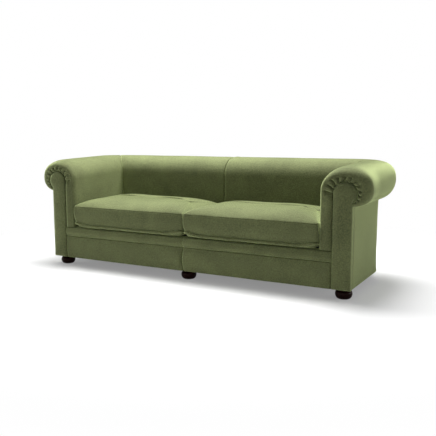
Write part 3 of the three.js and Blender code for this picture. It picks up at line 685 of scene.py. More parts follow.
class SofaSizes(bpy.types.PropertyGroup):
    cover_swell: length_property(
        "Cover swell", "How far the padding makes the covers swell and sink", 0.0016
    )
    back_seam_depth: length_property(
        "Back seam depth", "How deep the seam in the middle of the back is drawn in", 0.010
    )
    pleat_count: IntProperty(
        name="Pleats",
        description="Knife pleats gathered round the head of each arm facing",
        default=12,
        min=4,
    )
    pleat_depth: length_property(
        "Pleat depth", "How far each pleat stands up beside the facing", 0.015
    )
    lip_bulge: length_property(
        "Lip bulge", "How far the lip of the seat front rounds out above its lower edge", 0.004
    )
    cushion_pressure: FloatProperty(
        name="Cushion pressure",
        description="Pressure of the filling against the cushion's cover",
        default=45.0,
    )
    cushion_swell: length_property(
        "Cushion swell", "The most that the filling may move the cushion's cover", 0.022
    )
    welt_radius: length_property(
        "Welt radius", "Radius of the corded edge round the foot of each cushion", 0.0084
    )
    foot_collar: length_property(
        "Foot collar", "Radius of the turned collar at the top of each foot", 0.041
    )


class SofaColours(bpy.types.PropertyGroup):
    velvet: colour_property("Velvet", "Depth of the velvet's pile", (0.108, 0.122, 0.052))
    velvet_tip: colour_property("Velvet tips", "Tips of the pile", (0.86, 1.0, 0.47))
    velvet_sheen: FloatProperty(
        name="Velvet sheen",
        description="How strongly the pile lights up at a glance",
        default=1.0,
        min=0,
        max=1,
    )
    foot: colour_property("Feet", "Stain of the bun feet", (0.012, 0.0026, 0.0016))
    timber: colour_property("Timber", "Sawn wood of the frame", (0.58, 0.41, 0.24))
    steel: colour_property("Steel", "Springs, bolts and zip", (0.55, 0.56, 0.58))
    lining: colour_property("Lining", "Dust cover under the frame", (0.016, 0.016, 0.018))
    deck: colour_property("Platform", "Cloth under the cushions", (0.060, 0.070, 0.040))
    tape: colour_property("Zip tape", "Tape of the cushion zips", (0.060, 0.085, 0.030))
    floor: colour_property("Floor", "Studio floor", (0.86, 0.86, 0.86))


# Covers


def arm_cover(side, sign):
    """Inside arm: from the pleated border over the roll to the mitre at the rear corner."""
    front = FACING_BACK + GAP
    rings = []
    for y in [front + n for n in ARM_PLACES] + spread(front + 0.1, PIVOT_Y, 17):
        roll = arm_roll(y)
        section = padded_section(roll_outline(roll, *nose_insets(y)), roll)
        rings.append([arm_place(d, z, y) for d, z in section])
    rings += reversed(corner_rings(-1))
    sew_cover(f"{side}_arm_cover", mirrored(rings, sign))


def back_ring(x):
    """Section of the back at a distance from its middle seam, puckered and curled beside it."""
    cover, lining = roll_outline(BACK_ROLL), lining_outline(BACK_ROLL)
    drawn = sofa_sizes().back_seam_depth * bell(x, 0.003) + 0.002 * bell(x, 0.03)
    outer, run, before = [], 0.0, cover[0]
    for (d, z), inner in zip(cover, lining):
        run += math.hypot(d - before[0], z - before[1])
        before = (d, z)
        inset = drawn + MIDDLE_PUCKER * wave(run / 0.022, 3.0, 0.0) * bell(x, 0.02)
        if z > TOP - BACK_RISE:
            inset -= MIDDLE_CURL * bell(x - 0.022, 0.014) * bell(d - BACK_RADIUS, 0.05)
        outer.append(between((d, z), inner, inset / PAD_THICKNESS))
    return [Vector((x, BACK_INSIDE + d, z)) for d, z in padded_section(outer, BACK_ROLL)]


def back_cover():
    """Inside back: mitre to mitre, in two halves sewn together in the middle."""
    corner = corner_rings(1)
    across = BACK_PLACES + spread(0.14, PIVOT_X, 16)
    right = corner + [back_ring(x) for x in reversed(across)]
    left = [back_ring(-x) for x in across[1:]] + mirrored(reversed(corner), -1)
    sew_cover("back_cover", right + left)


def panel_band(column, beside, hollow=0.0):
    """Section of an outside panel, drawn in at its edges, by a seam and over the open frame."""
    top, foot = COLUMN_TOP + PANEL_TUCK, PANEL_BOTTOM + 0.005
    face = column - EDGE_SINK * beside
    outer = [(column - 0.0045, PANEL_BOTTOM), (face - 0.0016, PANEL_BOTTOM + 0.0012), (face, foot)]
    for share in spread(0.0, 1.0, 22)[1:]:
        full = arch(share / 0.93)
        belly = PANEL_BELLY * full * (1 - beside) - hollow * full**0.6
        outer.append((face + belly, foot + (top - foot) * share))
    return outer + [(column - PANEL_THICKNESS, z) for _, z in reversed(outer)]


def outside_arm_panel(side, sign):
    """Outside arm: along the arm, and round the rear corner to the seam beside the back."""
    front = FACING_BACK + GAP
    rings = []
    for y in [front + n for n in PANEL_PLACES[:-1]] + spread(front + PANEL_PLACES[-1], PIVOT_Y, 14):
        section = panel_band(ARM_COLUMN, 0.6 * bell(y - front, 0.008))
        rings.append([Vector((ARM_INSIDE + d, y, z)) for d, z in section])
    for degrees in CORNER_TURNS:
        turn = math.radians(degrees)
        edges = (bell(90 - degrees, 3), CORNER_HOLLOW * math.sin(2 * turn) ** 0.6)
        arm, back = (panel_band(column, *edges) for column in (ARM_COLUMN, BACK_COLUMN))
        rings.append([corner_point(a, b, turn) for a, b in zip(arm, back)])
    sew_cover(f"{side}_outside_arm_panel", mirrored(rings, sign))


def outside_back_panel():
    """Outside back, seamed to the side panels at its two ends."""
    end = REAR_PANEL_HIGH.x
    places = [-end + n for n in PANEL_PLACES] + spread(-end + 0.12, end - 0.12, 24)
    rings = []
    for x in places + [end - n for n in reversed(PANEL_PLACES)]:
        section = panel_band(BACK_COLUMN, bell(end - abs(x), 0.008))
        rings.append([Vector((x, BACK_INSIDE + d, z)) for d, z in section])
    sew_cover("outside_back_panel", rings)


def head_end(column, radius):
    """Turn round the facing's head at which it comes back to the column's outer face."""
    return -math.acos(min(1.0, (column - HEAD_X) / radius))


def facing_outline(inset):
    """Keyhole outline of the facing, drawn in by an inset: up, round the head and down."""
    near, foot, column = FACING_INSET + inset, PANEL_BOTTOM + inset, ARM_COLUMN - inset
    radii = (HEAD_WIDTH / 2 - inset, HEAD_HEIGHT / 2 - inset)
    head = arc((HEAD_X, HEAD_Z), radii, math.pi, head_end(column, radii[0]), 64)
    up = [(near, z) for z in spread(foot, HEAD_Z, 30)]
    down = [(column, z) for z in spread(head[-1][1], foot, 28)]
    return up + head[1:] + down[1:] + [(x, foot) for x in spread(column, near, 8)][1:-1]


def facing(side, sign):
    """Padded facing of the arm front, crowned across its width."""
    edge = FRONT_PLANE + FACING_CROWN / 2
    lift = edge - FACING_LOW.y + 0.004
    rows = [(0.0, FACING_BACK)]
    for inset in FACING_INSETS:
        rise = 1 - rounding(1 - inset / FACING_INSETS[-1])
        rows.append((inset, edge - lift * (0.1 * smooth(inset / 0.002) + 0.9 * rise)))
    rings = [
        [Vector((ARM_INSIDE + x, y, z)) for x, z in facing_outline(inset)] for inset, y in rows
    ]
    sew_cover(f"{side}_facing", mirrored(rings, sign), solid_end, FACING_PADDING)


def pleat_rise(share):
    """Height of a pleat across it: a full fold between two sharp valleys."""
    return arch(share**0.85, 0.9)


def border_outer(share, y):
    """Outer end of the pleated border at a share of the way round, at a depth of the nose."""
    turn = math.pi - share * (math.pi + QUARTER)
    inside, top, outside = nose_insets(y)
    if turn >= 0:
        return arm_place(*over_point(arm_roll(y), turn, inside, top, outside), y)
    return arm_place(*under_point(arm_roll(y), -turn, inside, outside), y)


def border_inner(share):
    """Inner end of the pleated border, beside the facing's head."""
    wide, tall = HEAD_WIDTH / 2 + GAP, HEAD_HEIGHT / 2 + GAP
    around = math.pi + share * (head_end(ARM_COLUMN, wide) - math.pi)
    x, z = wide * math.cos(around), tall * math.sin(around)
    return Vector((ARM_INSIDE + HEAD_X + x, FRONT_PLANE, HEAD_Z + z))


def border_ring(outer_at, inner_at, rise):
    """Ring of the border: round the nose, over the pleat and down into the facing's seam.

    outer_at gives the outer end at a depth of the nose, and both ends give their place when
    the pleat is bent sideways by a share of its run.
    """
    ring = [outer_at(0.0, FRONT_PLANE + (FACING_BACK - FRONT_PLANE) * n) for n in NOSE_PLACES]
    width = (inner_at(0.0) - ring[-1]).length
    for share in spread(0.0, 1.0, 18)[1:]:
        bend, left = arch(share), width * (1 - share)
        point = outer_at(bend, FRONT_PLANE).lerp(inner_at(bend), share)
        fade = smooth((PLEAT_REACH - left) / 0.07) * (0.3 + 0.7 * smooth(left / 0.016))
        point.y -= BORDER_CROWN * arch(share / 1.1, 1.2)
        point.y += sofa_sizes().pleat_depth * (1 - rise) * fade * smooth(share / 0.3)
        point.y += BORDER_FALL * rounding(1 - left / BORDER_FALL_REACH)
        point.y += BORDER_SEAM_DEPTH * bell(left, 0.004)
        ring.append(point)
    back = Vector((0.0, FACING_BACK - FRONT_PLANE, 0.0))
    inner, outer = inner_at(0.0), outer_at(0.0, FRONT_PLANE)
    return ring + [inner + back, (inner + outer) / 2 + back]


def pleated_border(side, sign):
    """Border of the arm front: a plain band up the inside, and pleats round the head."""
    pleat_count = sofa_sizes().pleat_count
    rings = []
    for share in spread(0.0, 1.0, 24)[:-1]:
        low = COVER_BOTTOM + (TOP - ARM_RADIUS - COVER_BOTTOM) * share
        inner_z = COVER_BOTTOM + (HEAD_Z - COVER_BOTTOM) * share
        inner = Vector((ARM_INSIDE + FACING_INSET - GAP, FRONT_PLANE, inner_z))
        rings.append(border_ring(
            lambda _, y, z=low: arm_place(nose_insets(y)[0], z, y),
            lambda _, place=inner: place.copy(),
            1 - 0.9 * smooth((share - 0.9) / 0.1),
        ))
    for pleat in range(pleat_count):
        lean = PLEAT_LEAN * wave(pleat * 1.7, sign, 0.0)
        for place in PLEAT_PLACES:
            share = (pleat + place) / pleat_count
            held = PLEAT_BEND * smooth(share / 0.12) * smooth((1 - share) / 0.12)
            rings.append(border_ring(
                lambda bend, y, s=share, k=held: border_outer(s + k * bend, y),
                lambda bend, s=share, k=held: border_inner(s + k * bend),
                pleat_rise(place) * (1 - lean),
            ))
    rings.append(border_ring(lambda _, y: border_outer(1.0, y), lambda _: border_inner(1.0), 0.0))
    sew_cover(f"{side}_pleated_border", mirrored(rings, sign), solid_end, None)


# Seat front


def front_drawn(x, reach):
    """How far the seams in the middle and at the ends draw the seat front in, from 0 to 1."""
    return rounding(1 - min(abs(x), LIP_HIGH.x - abs(x)) / reach)


def front_panel(name, section, bow):
    """A panel of the seat front, sewn in its middle along a seam that bows to the left."""
    low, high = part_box(name)
    end = LIP_HIGH.x
    half = FRONT_PLACES + spread(0.13, end - 0.13, 16) + [end - n for n in reversed(FRONT_PLACES)]
    rings = []
    for x in [-x for x in reversed(half[1:])] + half:
        bowed = bow * bell(x, 0.03)
        rings.append([
            Vector((x - bowed * arch((z - low.z) / (high.z - low.z)), y, z))
            for y, z in section(x, low, high)
        ])
    sew_cover(name, rings, solid_end, FRONT_PADDING)


def rounded_face(face, low, high, under, over, turns, steps, bulge):
    """Front of a section, from its rounded lower edge over its bulge to its upper edge."""
    start, end = low + under[1], high - over[1]
    points = arc((face + under[0], start), under, -QUARTER, -math.pi, turns)
    points += [(face - bulge(s), start + (end - start) * s) for s in spread(0.0, 1.0, steps)[1:-1]]
    return points + arc((face + over[0], end), over, math.pi, QUARTER, turns)


def lip_section(x, low, high):
    """Rounded lip of the seat front, fullest just above its lower edge."""
    depth = sofa_sizes().lip_bulge
    step_back, step_height = FRONT_PLANE + 0.016, high.z - 0.030
    face = low.y + 0.003 + 0.006 * front_drawn(x, 0.018)
    front = rounded_face(
        face, low.z, high.z, (0.009, 0.010), (0.014, 0.014), 7, 10,
        lambda share: depth * arch(share**0.7),
    )
    rear = [(high.y, high.z), (high.y, step_height), (step_back, step_height)]
    return [(step_back, low.z), (face + 0.009, low.z)] + front + [(face + 0.026, high.z)] + rear


def lower_section(x, low, high):
    """Pillowed panel below the lip."""
    drawn = front_drawn(x, 0.026)
    depth = (0.006 + 0.010 * bell(x, 0.13)) * (1 - drawn)
    face = FRONT_PLANE + 0.010 * drawn
    front = rounded_face(
        face, low.z, high.z, (0.005, 0.006), (0.008, 0.010), 6, 16,
        lambda share: depth * arch(share, 0.7),
    )
    return [(high.y, low.z), (face + 0.005, low.z)] + front + [(high.y, high.z)]


# Cushions

TOP_CORNER = 0.010
FOOT_CORNER = 0.042
CUSHION_BULGE = 0.0015
CUSHION_DRAW_IN = 0.005
LOW_SEAM = 0.0155
HIGH_SEAM = 0.136
SEAM_LIFT = 0.017
BOX_STEPS = 15
CROWN_STEPS = 22
CROWN_NARROWING = 0.62
CROWN_START = 0.0034
CROWN_MARGIN = 0.008
FILLING_FRAMES = 12
FILLING_QUALITY = 6
COVER_MASS = 0.3
EVENING_ROUNDS = 90
CORNER_HOLD = 0.85
FIRM = 0.9
WELT_STEPS = 12
GATHER_DEPTH = 0.0011
RIPPLE_DEPTH = 0.0016
HOLLOW_DEPTH = 0.0035

# Rows of the cover: how far out of the plan, height above the bed or from the top seam, share
# of the corners' lift, and how firmly the row is held while the filling swells
BED_SHARES = (0.92, 0.74, 0.54, 0.36, 0.24, 0.17)
FOOT_ROWS = (
    (-0.034, 0.0, 0.0, 1.0),
    (-0.024, 0.001, 0.1, 1.0),
    (-0.015, 0.004, 0.35, 1.0),
    (-0.007, 0.008, 0.65, 1.0),
    (-0.0035, LOW_SEAM - 0.003, 0.9, 1.0),
    (-0.004, LOW_SEAM, 1.0, 1.0),
    (-0.001, LOW_SEAM + 0.003, 1.0, FIRM),
)
SEAM_ROWS = (
    (0.0004, -0.0028, 0.0, FIRM),
    (-0.0014, -0.0009, 0.0, 1.0),
    (-0.0046, 0.0, 0.0, 1.0),
    (-0.0018, 0.0012, 0.0, 1.0),
)


def cushion_plan(half_width, half_depth, radius, drawn_in=CUSHION_DRAW_IN):
    """Plan of a cushion at its seams: rounded corners, and sides drawn in between them."""
    x, y = half_width - radius, half_depth - radius
    corners = [
        (x, -y, -drawn_in, 0.0, 26),
        (x, y, 0.0, 0.0, 40),
        (-x, y, drawn_in, 0.0, 26),
        (-x, -y, 0.0, drawn_in, 40),
    ]
    turns = [
        arc(corner[:2], (radius, radius), (i - 1) * QUARTER, i * QUARTER, 12)
        for i, corner in enumerate(corners)
    ]
    outline = []
    for i, (_, _, drawn_x, drawn_y, steps) in enumerate(corners):
        start, end = turns[i][-1], turns[(i + 1) % 4][0]
        outline += turns[i]
        for share in spread(0.0, 1.0, steps)[1:-1]:
            (x, y), pull = between(start, end, share), 1 - (2 * share - 1) ** 2
            outline.append((x + drawn_x * pull, y + drawn_y * pull))
    return outline


def crown_line(half_width, half_depth, inset):
    """A level line of the crown: drawn in from the seam, and rounder the nearer the top."""
    wide, deep = half_width - CROWN_NARROWING * inset, half_depth - inset
    radius = min(TOP_CORNER + 0.75 * inset, 0.96 * deep)
    return cushion_plan(wide, deep, radius, CUSHION_DRAW_IN * (deep / half_depth) ** 3)


def outward(outline, distance):
    """Move each point of a cushion's plan out by the same distance from its two edges."""
    moved = []
    for i, (x, y) in enumerate(outline):
        before, after = outline[i - 1], outline[(i + 1) % len(outline)]
        first = Vector((x - before[0], y - before[1])).normalized()
        second = Vector((after[0] - x, after[1] - y)).normalized()
        out = Vector((first.y + second.y, -first.x - second.x)).normalized()
        reach = distance / out.dot(Vector((first.y, -first.x)))
        moved.append((x + out.x * reach, y + out.y * reach))
    return moved


def cushion_rows(half_width, half_depth, crown):
    """Rows of the cushion's cover from the middle of its bed to the top of its crown."""
    wide, deep = half_width - CUSHION_BULGE, half_depth - CUSHION_BULGE
    foot = cushion_plan(wide, deep, FOOT_CORNER)
    plan = cushion_plan(wide, deep, TOP_CORNER)
    rows = [(crown_line(wide, deep, share * deep), 0.0, 0.0, 1.0) for share in BED_SHARES]
    rows += [(outward(foot, out), height, lift, firm) for out, height, lift, firm in FOOT_ROWS]
    for share in spread(0.0, 1.0, BOX_STEPS)[1:-1]:
        climb = 1 - (1 - share) ** 3
        outline = [between(a, b, climb) for a, b in zip(foot, plan)]
        outline = outward(outline, 2 * CUSHION_BULGE * arch(share))
        rows.append((outline, LOW_SEAM + (HIGH_SEAM - LOW_SEAM) * share, 1 - share, 0.0))
    for out, above, lift, firm in SEAM_ROWS:
        rows.append((outward(plan, out), HIGH_SEAM + above, lift, firm))
    for step in range(CROWN_STEPS + 1):
        share = 0.006 + 0.934 * (step / CROWN_STEPS) ** 1.35
        climb = (1 - (1 - share) ** 2.8) ** 0.72
        height = HIGH_SEAM + CROWN_START + (crown - CROWN_START) * climb
        rows.append((crown_line(wide, deep, share * deep), height, 0.0, 0.0))
    return rows


def cornerness(x, y, half_width, half_depth):
    """How near a point of the plan is to a corner, from 0 to 1."""
    left = math.hypot(half_width - abs(x), half_depth - abs(y))
    return smooth(1 - (left - 0.01) / 0.11)


def evened(mesh, moves, held):
    """Moves of a cover's points, evened out so that its filling leaves no creases."""
    beside = [[] for _ in moves]
    for edge in mesh.edges:
        first, second = edge.vertices
        beside[first].append(second)
        beside[second].append(first)
    for _ in range(EVENING_ROUNDS):
        moves = [
            move if firm >= FIRM else sum((moves[i] for i in near), move) / (len(near) + 1)
            for move, near, firm in zip(moves, beside, held)
        ]
    return moves


def swell(piece, held):
    """Fill the cushion: its cover is blown up as cloth, held along its seams."""
    scene = bpy.context.scene
    before = [v.co.copy() for v in piece.data.vertices]
    group = piece.vertex_groups.new(name="held")
    for index, weight in enumerate(held):
        if weight:
            group.add([index], weight, "REPLACE")
    cover = piece.modifiers.new("Filling", "CLOTH")
    cloth_settings = cover.settings
    cloth_settings.quality = FILLING_QUALITY
    cloth_settings.mass = COVER_MASS
    cloth_settings.vertex_group_mass = "held"
    cloth_settings.use_pressure = True
    cloth_settings.uniform_pressure_force = sofa_sizes().cushion_pressure
    cloth_settings.effector_weights.gravity = 0
    cover.point_cache.frame_start = 1
    cover.point_cache.frame_end = FILLING_FRAMES
    for frame_number in range(1, FILLING_FRAMES + 1):
        scene.frame_set(frame_number)
    ready = piece.evaluated_get(bpy.context.evaluated_depsgraph_get())
    moves = [v.co - old for v, old in zip(ready.data.vertices, before)]
    piece.modifiers.remove(cover)
    scene.frame_set(1)
    most = sofa_sizes().cushion_swell
    for vertex, old, move in zip(piece.data.vertices, before, evened(piece.data, moves, held)):
        vertex.co = old + (move.normalized() * most if move.length > most else move)


def crease(piece, middle, low, sign):
    """Gathers at the top seam, ripples down the boxing and the hollows of use on the crown."""
    high = low + HIGH_SEAM

    def change(place, normal):
        if place.z < low + 0.004:
            return 0.0
        along = place.x + place.y
        gather = wave(along / 0.016, place.z / 0.09, sign * 4.0)
        near = bell(place.z - high, 0.016) if abs(normal.z) < 0.9 else 0.0
        if place.z < high:
            ripple = wave(along / 0.034, place.z / 0.3, sign * 9.0)
            rear = smooth((middle.y + 0.24 - place.y) / 0.02)
            more = RIPPLE_DEPTH * ripple * arch((place.z - low) / HIGH_SEAM) * rear
        else:
            hollow = wave(place.x / 0.23, place.y / 0.2, sign * 6.0)
            more = HOLLOW_DEPTH * hollow * smooth((place.z - high) / 0.03)
        return GATHER_DEPTH * gather * near + more

    displace(piece, change)


def seat_cushion(side, sign):
    """Loose seat cushion: boxed, with a full crown, corded round its foot."""
    name = f"{side}_seat_cushion"
    low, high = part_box(name)
    middle = (low + high) / 2
    half_width, half_depth = (high.x - low.x) / 2, (high.y - low.y) / 2
    rings, held = [], []
    for outline, height, lift, firm in cushion_rows(
        half_width, half_depth, high.z - low.z - HIGH_SEAM - CROWN_MARGIN
    ):
        ring = []
        for x, y in outline:
            near_corner = cornerness(x, y, half_width, half_depth)
            raised = lift * SEAM_LIFT * near_corner
            ring.append(Vector((middle.x + x, middle.y + y, low.z + height + raised)))
            rear = 1.0 if y > half_depth - 0.03 and height < HIGH_SEAM else 0.0
            corner = CORNER_HOLD * near_corner if height > HIGH_SEAM else 0.0
            held.append(max(firm, rear, corner))
        rings.append(ring)
    piece = make_piece(f"{name}_velvet", loft(rings), "velvet", name, f"{side}_cushion")
    swell(piece, held)
    crease(piece, middle, low.z, sign)
    cover = piece.modifiers.new("Smooth cover", "SUBSURF")
    cover.levels = cover.render_levels = 1
    cushion_welt(side, half_width, half_depth, middle, low)


def cushion_welt(side, half_width, half_depth, middle, low):
    """Corded edge sewn into the lower seam of a cushion, proud of it in front."""
    radius = sofa_sizes().welt_radius
    plan = cushion_plan(half_width - CUSHION_BULGE, half_depth - CUSHION_BULGE, FOOT_CORNER)
    centres = []
    for near, far in zip(outward(plan, -radius * 0.8), outward(plan, radius * 0.6)):
        front = smooth(-near[1] / half_depth * 6 - 5)
        x, y = between(near, far, front)
        raised = SEAM_LIFT * cornerness(x, y, half_width, half_depth)
        centres.append(Vector((middle.x + x, middle.y + y, low.z + LOW_SEAM + raised)))
    points = []
    for i, centre in enumerate(centres):
        along = (centres[(i + 1) % len(centres)] - centres[i - 1]).normalized()
        out = Vector((along.y, -along.x, 0.0)).normalized()
        up = along.cross(out).normalized()
        if up.z < 0:
            up = -up
        for across, rise in arc((0.0, 0.0), (1.0, 1.1), 0.0, 2 * math.pi, WELT_STEPS)[:-1]:
            points.append(centre + (out * across + up * rise) * radius)
    form = points, skin(len(centres), WELT_STEPS, closed=True)
    make_piece(f"{side}_cushion_welt", form, "velvet", None, f"{side}_cushion")


# Zips

ZIP_LENGTH = 0.63
ZIP_START = 0.002
TAPE_WIDTH = 0.012
TAPE_END = 0.012
TAPE_DEPTH = 0.004
TAPE_GAP = 0.001
TOOTH_PITCH = 0.003
TOOTH_WIDTH = 0.0019
TOOTH_HALF = 0.0024
TOOTH_PROUD = 0.0011
TOOTH_SHIFT = 0.0006
TOOTH_SUNK = 0.001
STOP_WIDTH = 0.003
STOP_HALF = 0.004
STOP_PROUD = 0.0016
SLIDER_DROP = 0.0055
PULL_HALF = 0.0033
PULL_THICKNESS = 0.0013


def cushion_zip(side):
    """Zip in a cushion's rear boxing: two tapes, the row of teeth, stops and the slider."""
    low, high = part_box(f"{side}_cushion_zip_slider")
    rear, start, z = low.y, low.x + ZIP_START, high.z - SLIDER_DROP
    end = start + ZIP_LENGTH
    body = f"{side}_cushion"
    tapes = []
    for foot in (z - TAPE_GAP - TAPE_WIDTH, z + TAPE_GAP):
        tape_low = (start - TAPE_END, rear - TAPE_DEPTH, foot)
        tapes.append(block(tape_low, (end, rear, foot + TAPE_WIDTH), 0.0002))
    make_piece(f"{side}_zip_tapes", gathered(tapes), "zip_tape", None, body)
    teeth = []
    for i in range(int((end - start) / TOOTH_PITCH)):
        x, middle = start + TOOTH_PITCH * i, z + (TOOTH_SHIFT if i % 2 else -TOOTH_SHIFT)
        tooth_low = (x, rear - TOOTH_SUNK, middle - TOOTH_HALF)
        tooth_high = (x + TOOTH_WIDTH, rear + TOOTH_PROUD, middle + TOOTH_HALF)
        teeth.append(block(tooth_low, tooth_high, 0.0004))
    for x in (start - 0.004, end - 0.001):
        stop_low = (x, rear - TOOTH_SUNK, z - STOP_HALF)
        stop_high = (x + STOP_WIDTH, rear + STOP_PROUD, z + STOP_HALF)
        teeth.append(block(stop_low, stop_high, 0.0005))
    make_piece(f"{side}_zip_teeth", gathered(teeth), "steel", None, body)
    zip_slider(side, low, high)


def zip_slider(side, low, high):
    """Slider of a cushion zip: waisted body, bridge, and a pierced pull hanging from it."""
    length, thickness = high.x - low.x, high.y - low.y
    middle_x, middle_z = (low.x + high.x) / 2, high.z - SLIDER_DROP
    plan = []
    for share in spread(-1.0, 1.0, 14):
        wide = 0.0036 + 0.0019 * smooth(abs(share)) + (0.0 if share > 0 else -0.0004)
        plan.append((middle_x + share * length / 2, wide))
    outline = [(x, -wide) for x, wide in plan] + [(x, wide) for x, wide in reversed(plan)]
    depth = thickness * 0.6
    rings = []
    for inset, y in ((0.0008, 0.0), (0.0, 0.0006), (0.0, depth - 0.0007), (0.0009, depth)):
        drawn = 1 - inset / 0.005
        rings.append([Vector((x, low.y + y, middle_z + wide * drawn)) for x, wide in outline])
    start, reach = (middle_x, low.y + depth - 0.0004), (length * 0.27, thickness - depth)
    corners = ((-0.0008, -0.0013), (-0.0008, 0.0013), (0.0, 0.0009), (0.0, -0.0009))
    bridge = [
        [Vector((x, y + back, middle_z + up)) for back, up in corners]
        for x, y in arc(start, reach, math.pi, 0.0, 12)
    ]
    form = gathered([loft(rings), loft(bridge), zip_pull(middle_x, high.y, middle_z, low.z)])
    replaced = f"{side}_cushion_zip_slider"
    make_piece(f"{side}_zip_slider_steel", form, "steel", replaced, f"{side}_zip")


def zip_pull(x, rear, top, bottom):
    """Flat pull with a rounded tip and a slot through its upper end."""
    slot = PULL_HALF * 0.42
    outer = arc((x, bottom + PULL_HALF), (PULL_HALF, PULL_HALF), -math.pi, 0, 12)
    outer += arc((x, top), (PULL_HALF * 0.8, 0.001), 0, math.pi, 8)
    inner = arc((x, top - 0.007), (slot, slot), -math.pi, 0, 12)
    inner += arc((x, top - 0.0035), (slot, slot), 0, math.pi, 8)
    front = rear - PULL_THICKNESS
    points = [
        Vector((px, y, pz))
        for outline, y in ((outer, front), (outer, rear), (inner, rear), (inner, front))
        for px, pz in outline
    ]
    return points, skin(4, len(outer), closed=True)


# Feet

FOOT_STEPS = 56
FOOT_EASING = 0.0025
FEET = [f"{side}_{end}" for end in ("front", "rear") for side in ("left", "centre", "right")]


def foot_profile(height, radius, collar):
    """Half outline of a bun foot: (radius, height) from the middle of its base to its top."""
    belly, neck = height * 0.5, height * 0.80
    base, waist = radius * 0.58, collar * 0.9
    rim = neck + 0.0022
    lip = (height - rim) / 2
    profile = [(0.0, 0.0), (base * 0.6, 0.0), (base - 0.001, 0.0), (base, 0.0006)]
    profile += arc((base, belly), (radius - base, belly - 0.0006), -QUARTER, 0.0, 12)[1:]
    profile += arc((waist, belly), (radius - waist, neck - belly), 0.0, QUARTER, 12)[1:-1]
    profile += [(waist, neck), (waist, neck + 0.0012)]
    profile += arc((collar - 0.004, rim + lip), (0.004, lip), -QUARTER, QUARTER, 8)
    return profile + [(0.012, height), (0.0, height)]


def turned(profile, x, y):
    """A closed turned body about an upright axis."""
    rows = profile[1:-1]
    points = [Vector((x, y, profile[0][1]))]
    for radius, z in rows:
        circle = arc((x, y), (radius, radius), 0.0, 2 * math.pi, FOOT_STEPS)[:-1]
        points += [Vector((px, py, z)) for px, py in circle]
    points.append(Vector((x, y, profile[-1][1])))
    last = len(points) - 1
    faces = [tuple(1 + i for i in face) for face in skin(len(rows), FOOT_STEPS)]
    for i in range(FOOT_STEPS):
        j = (i + 1) % FOOT_STEPS
        faces += [(0, 1 + j, 1 + i), (last, last - FOOT_STEPS + i, last - FOOT_STEPS + j)]
    return points, faces


def bun_foot(place):
    name = f"{place}_foot"
    low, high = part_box(name)
    middle = (low + high) / 2
    profile = foot_profile(high.z, (high.x - low.x) / 2 - FOOT_EASING, sofa_sizes().foot_collar)
    make_piece(f"{name}_turned", turned(profile, middle.x, middle.y), "stained_wood", name)


# Under and inside

QUILT_DEPTH = 0.0012
DECK_HOLLOW = 0.003
DECK_EDGE_FALL = 0.004
LINING_THICKNESS = 0.0009
LINING_GAP = 0.0004
STAPLE_INSET = 0.012
STAPLE_HALF = 0.005
STAPLE_WIRE = 0.0006


def seat_deck():
    """Platform under the cushions: a quilted cloth pad over the springs."""
    low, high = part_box("seat_deck")
    rings = []
    for x in spread(low.x, high.x, 96):
        upper, lower = [], []
        for y in spread(low.y, high.y, 32):
            edge = min(x - low.x, high.x - x, y - low.y, high.y - y)
            sunk = DECK_HOLLOW * smooth(edge / 0.06)
            sunk += DECK_EDGE_FALL * (1 - smooth(edge / 0.012))
            sunk += QUILT_DEPTH * (1 + wave(x / 0.11, y / 0.09, 7.0))
            upper.append(Vector((x, y, high.z - sunk)))
            lower.append(Vector((x, y, low.z)))
        rings.append(upper + list(reversed(lower)))
    piece = make_piece("seat_deck_cloth", loft(rings, band_end), "deck_cloth", "seat_deck")


def lining_reach(y):
    """Half-width of the dust cover at a distance from the front."""
    rounded = rounding((y - PIVOT_Y) / (LINING_HIGH.y - PIVOT_Y))
    return LINING_HIGH.x - (LINING_HIGH.x - PIVOT_X) * rounded


def dust_cover():
    """Thin black lining stapled under the frame."""
    low, high = LINING_LOW, LINING_HIGH
    depths = spread(low.y, PIVOT_Y, 22)
    depths += [PIVOT_Y + (high.y - PIVOT_Y) * math.sin(a) for a in spread(0.0, QUARTER, 14)][1:]
    rings, area, before = [], 0.0, (low.y, 0.0)
    for y in depths:
        half = lining_reach(y)
        area += (y - before[0]) * (half + before[1])
        before = (y, half)
        under = []
        for x in spread(-half, half, 80):
            ripple = 0.00025 * wave(x / 0.05, y / 0.2, 1.0)
            under.append(Vector((x, y, low.z + LINING_GAP + ripple)))
        over = [p + Vector((0.0, 0.0, LINING_THICKNESS)) for p in reversed(under)]
        rings.append(under + over)
    piece = make_piece("dust_cover_cloth", loft(rings, band_end), "lining", "dust_cover")
    dust_cover_staples(low.z + LINING_GAP)


def dust_cover_staples(under):
    """Wire staples along the dust cover's edge."""
    across, along = (STAPLE_HALF, STAPLE_WIRE), (STAPLE_WIRE, STAPLE_HALF)
    places = [(x, LINING_LOW.y + STAPLE_INSET, across) for x in spread(-0.92, 0.92, 40)]
    places += [(x, LINING_HIGH.y - STAPLE_INSET, across) for x in spread(-0.84, 0.84, 36)]
    for y in spread(LINING_LOW.y + 0.05, PIVOT_Y, 11):
        places += [(sign * (LINING_HIGH.x - STAPLE_INSET), y, along) for _, sign in SIDES]
    staples = [
        block((x - dx, y - dy, under - 0.0003), (x + dx, y + dy, under + STAPLE_WIRE))
        for x, y, (dx, dy) in places
    ]
    return make_piece("dust_cover_staples", gathered(staples), "steel")


def on_both_sides(*parts):
    return [f"{side}_{part}" for side, _ in SIDES for part in parts]


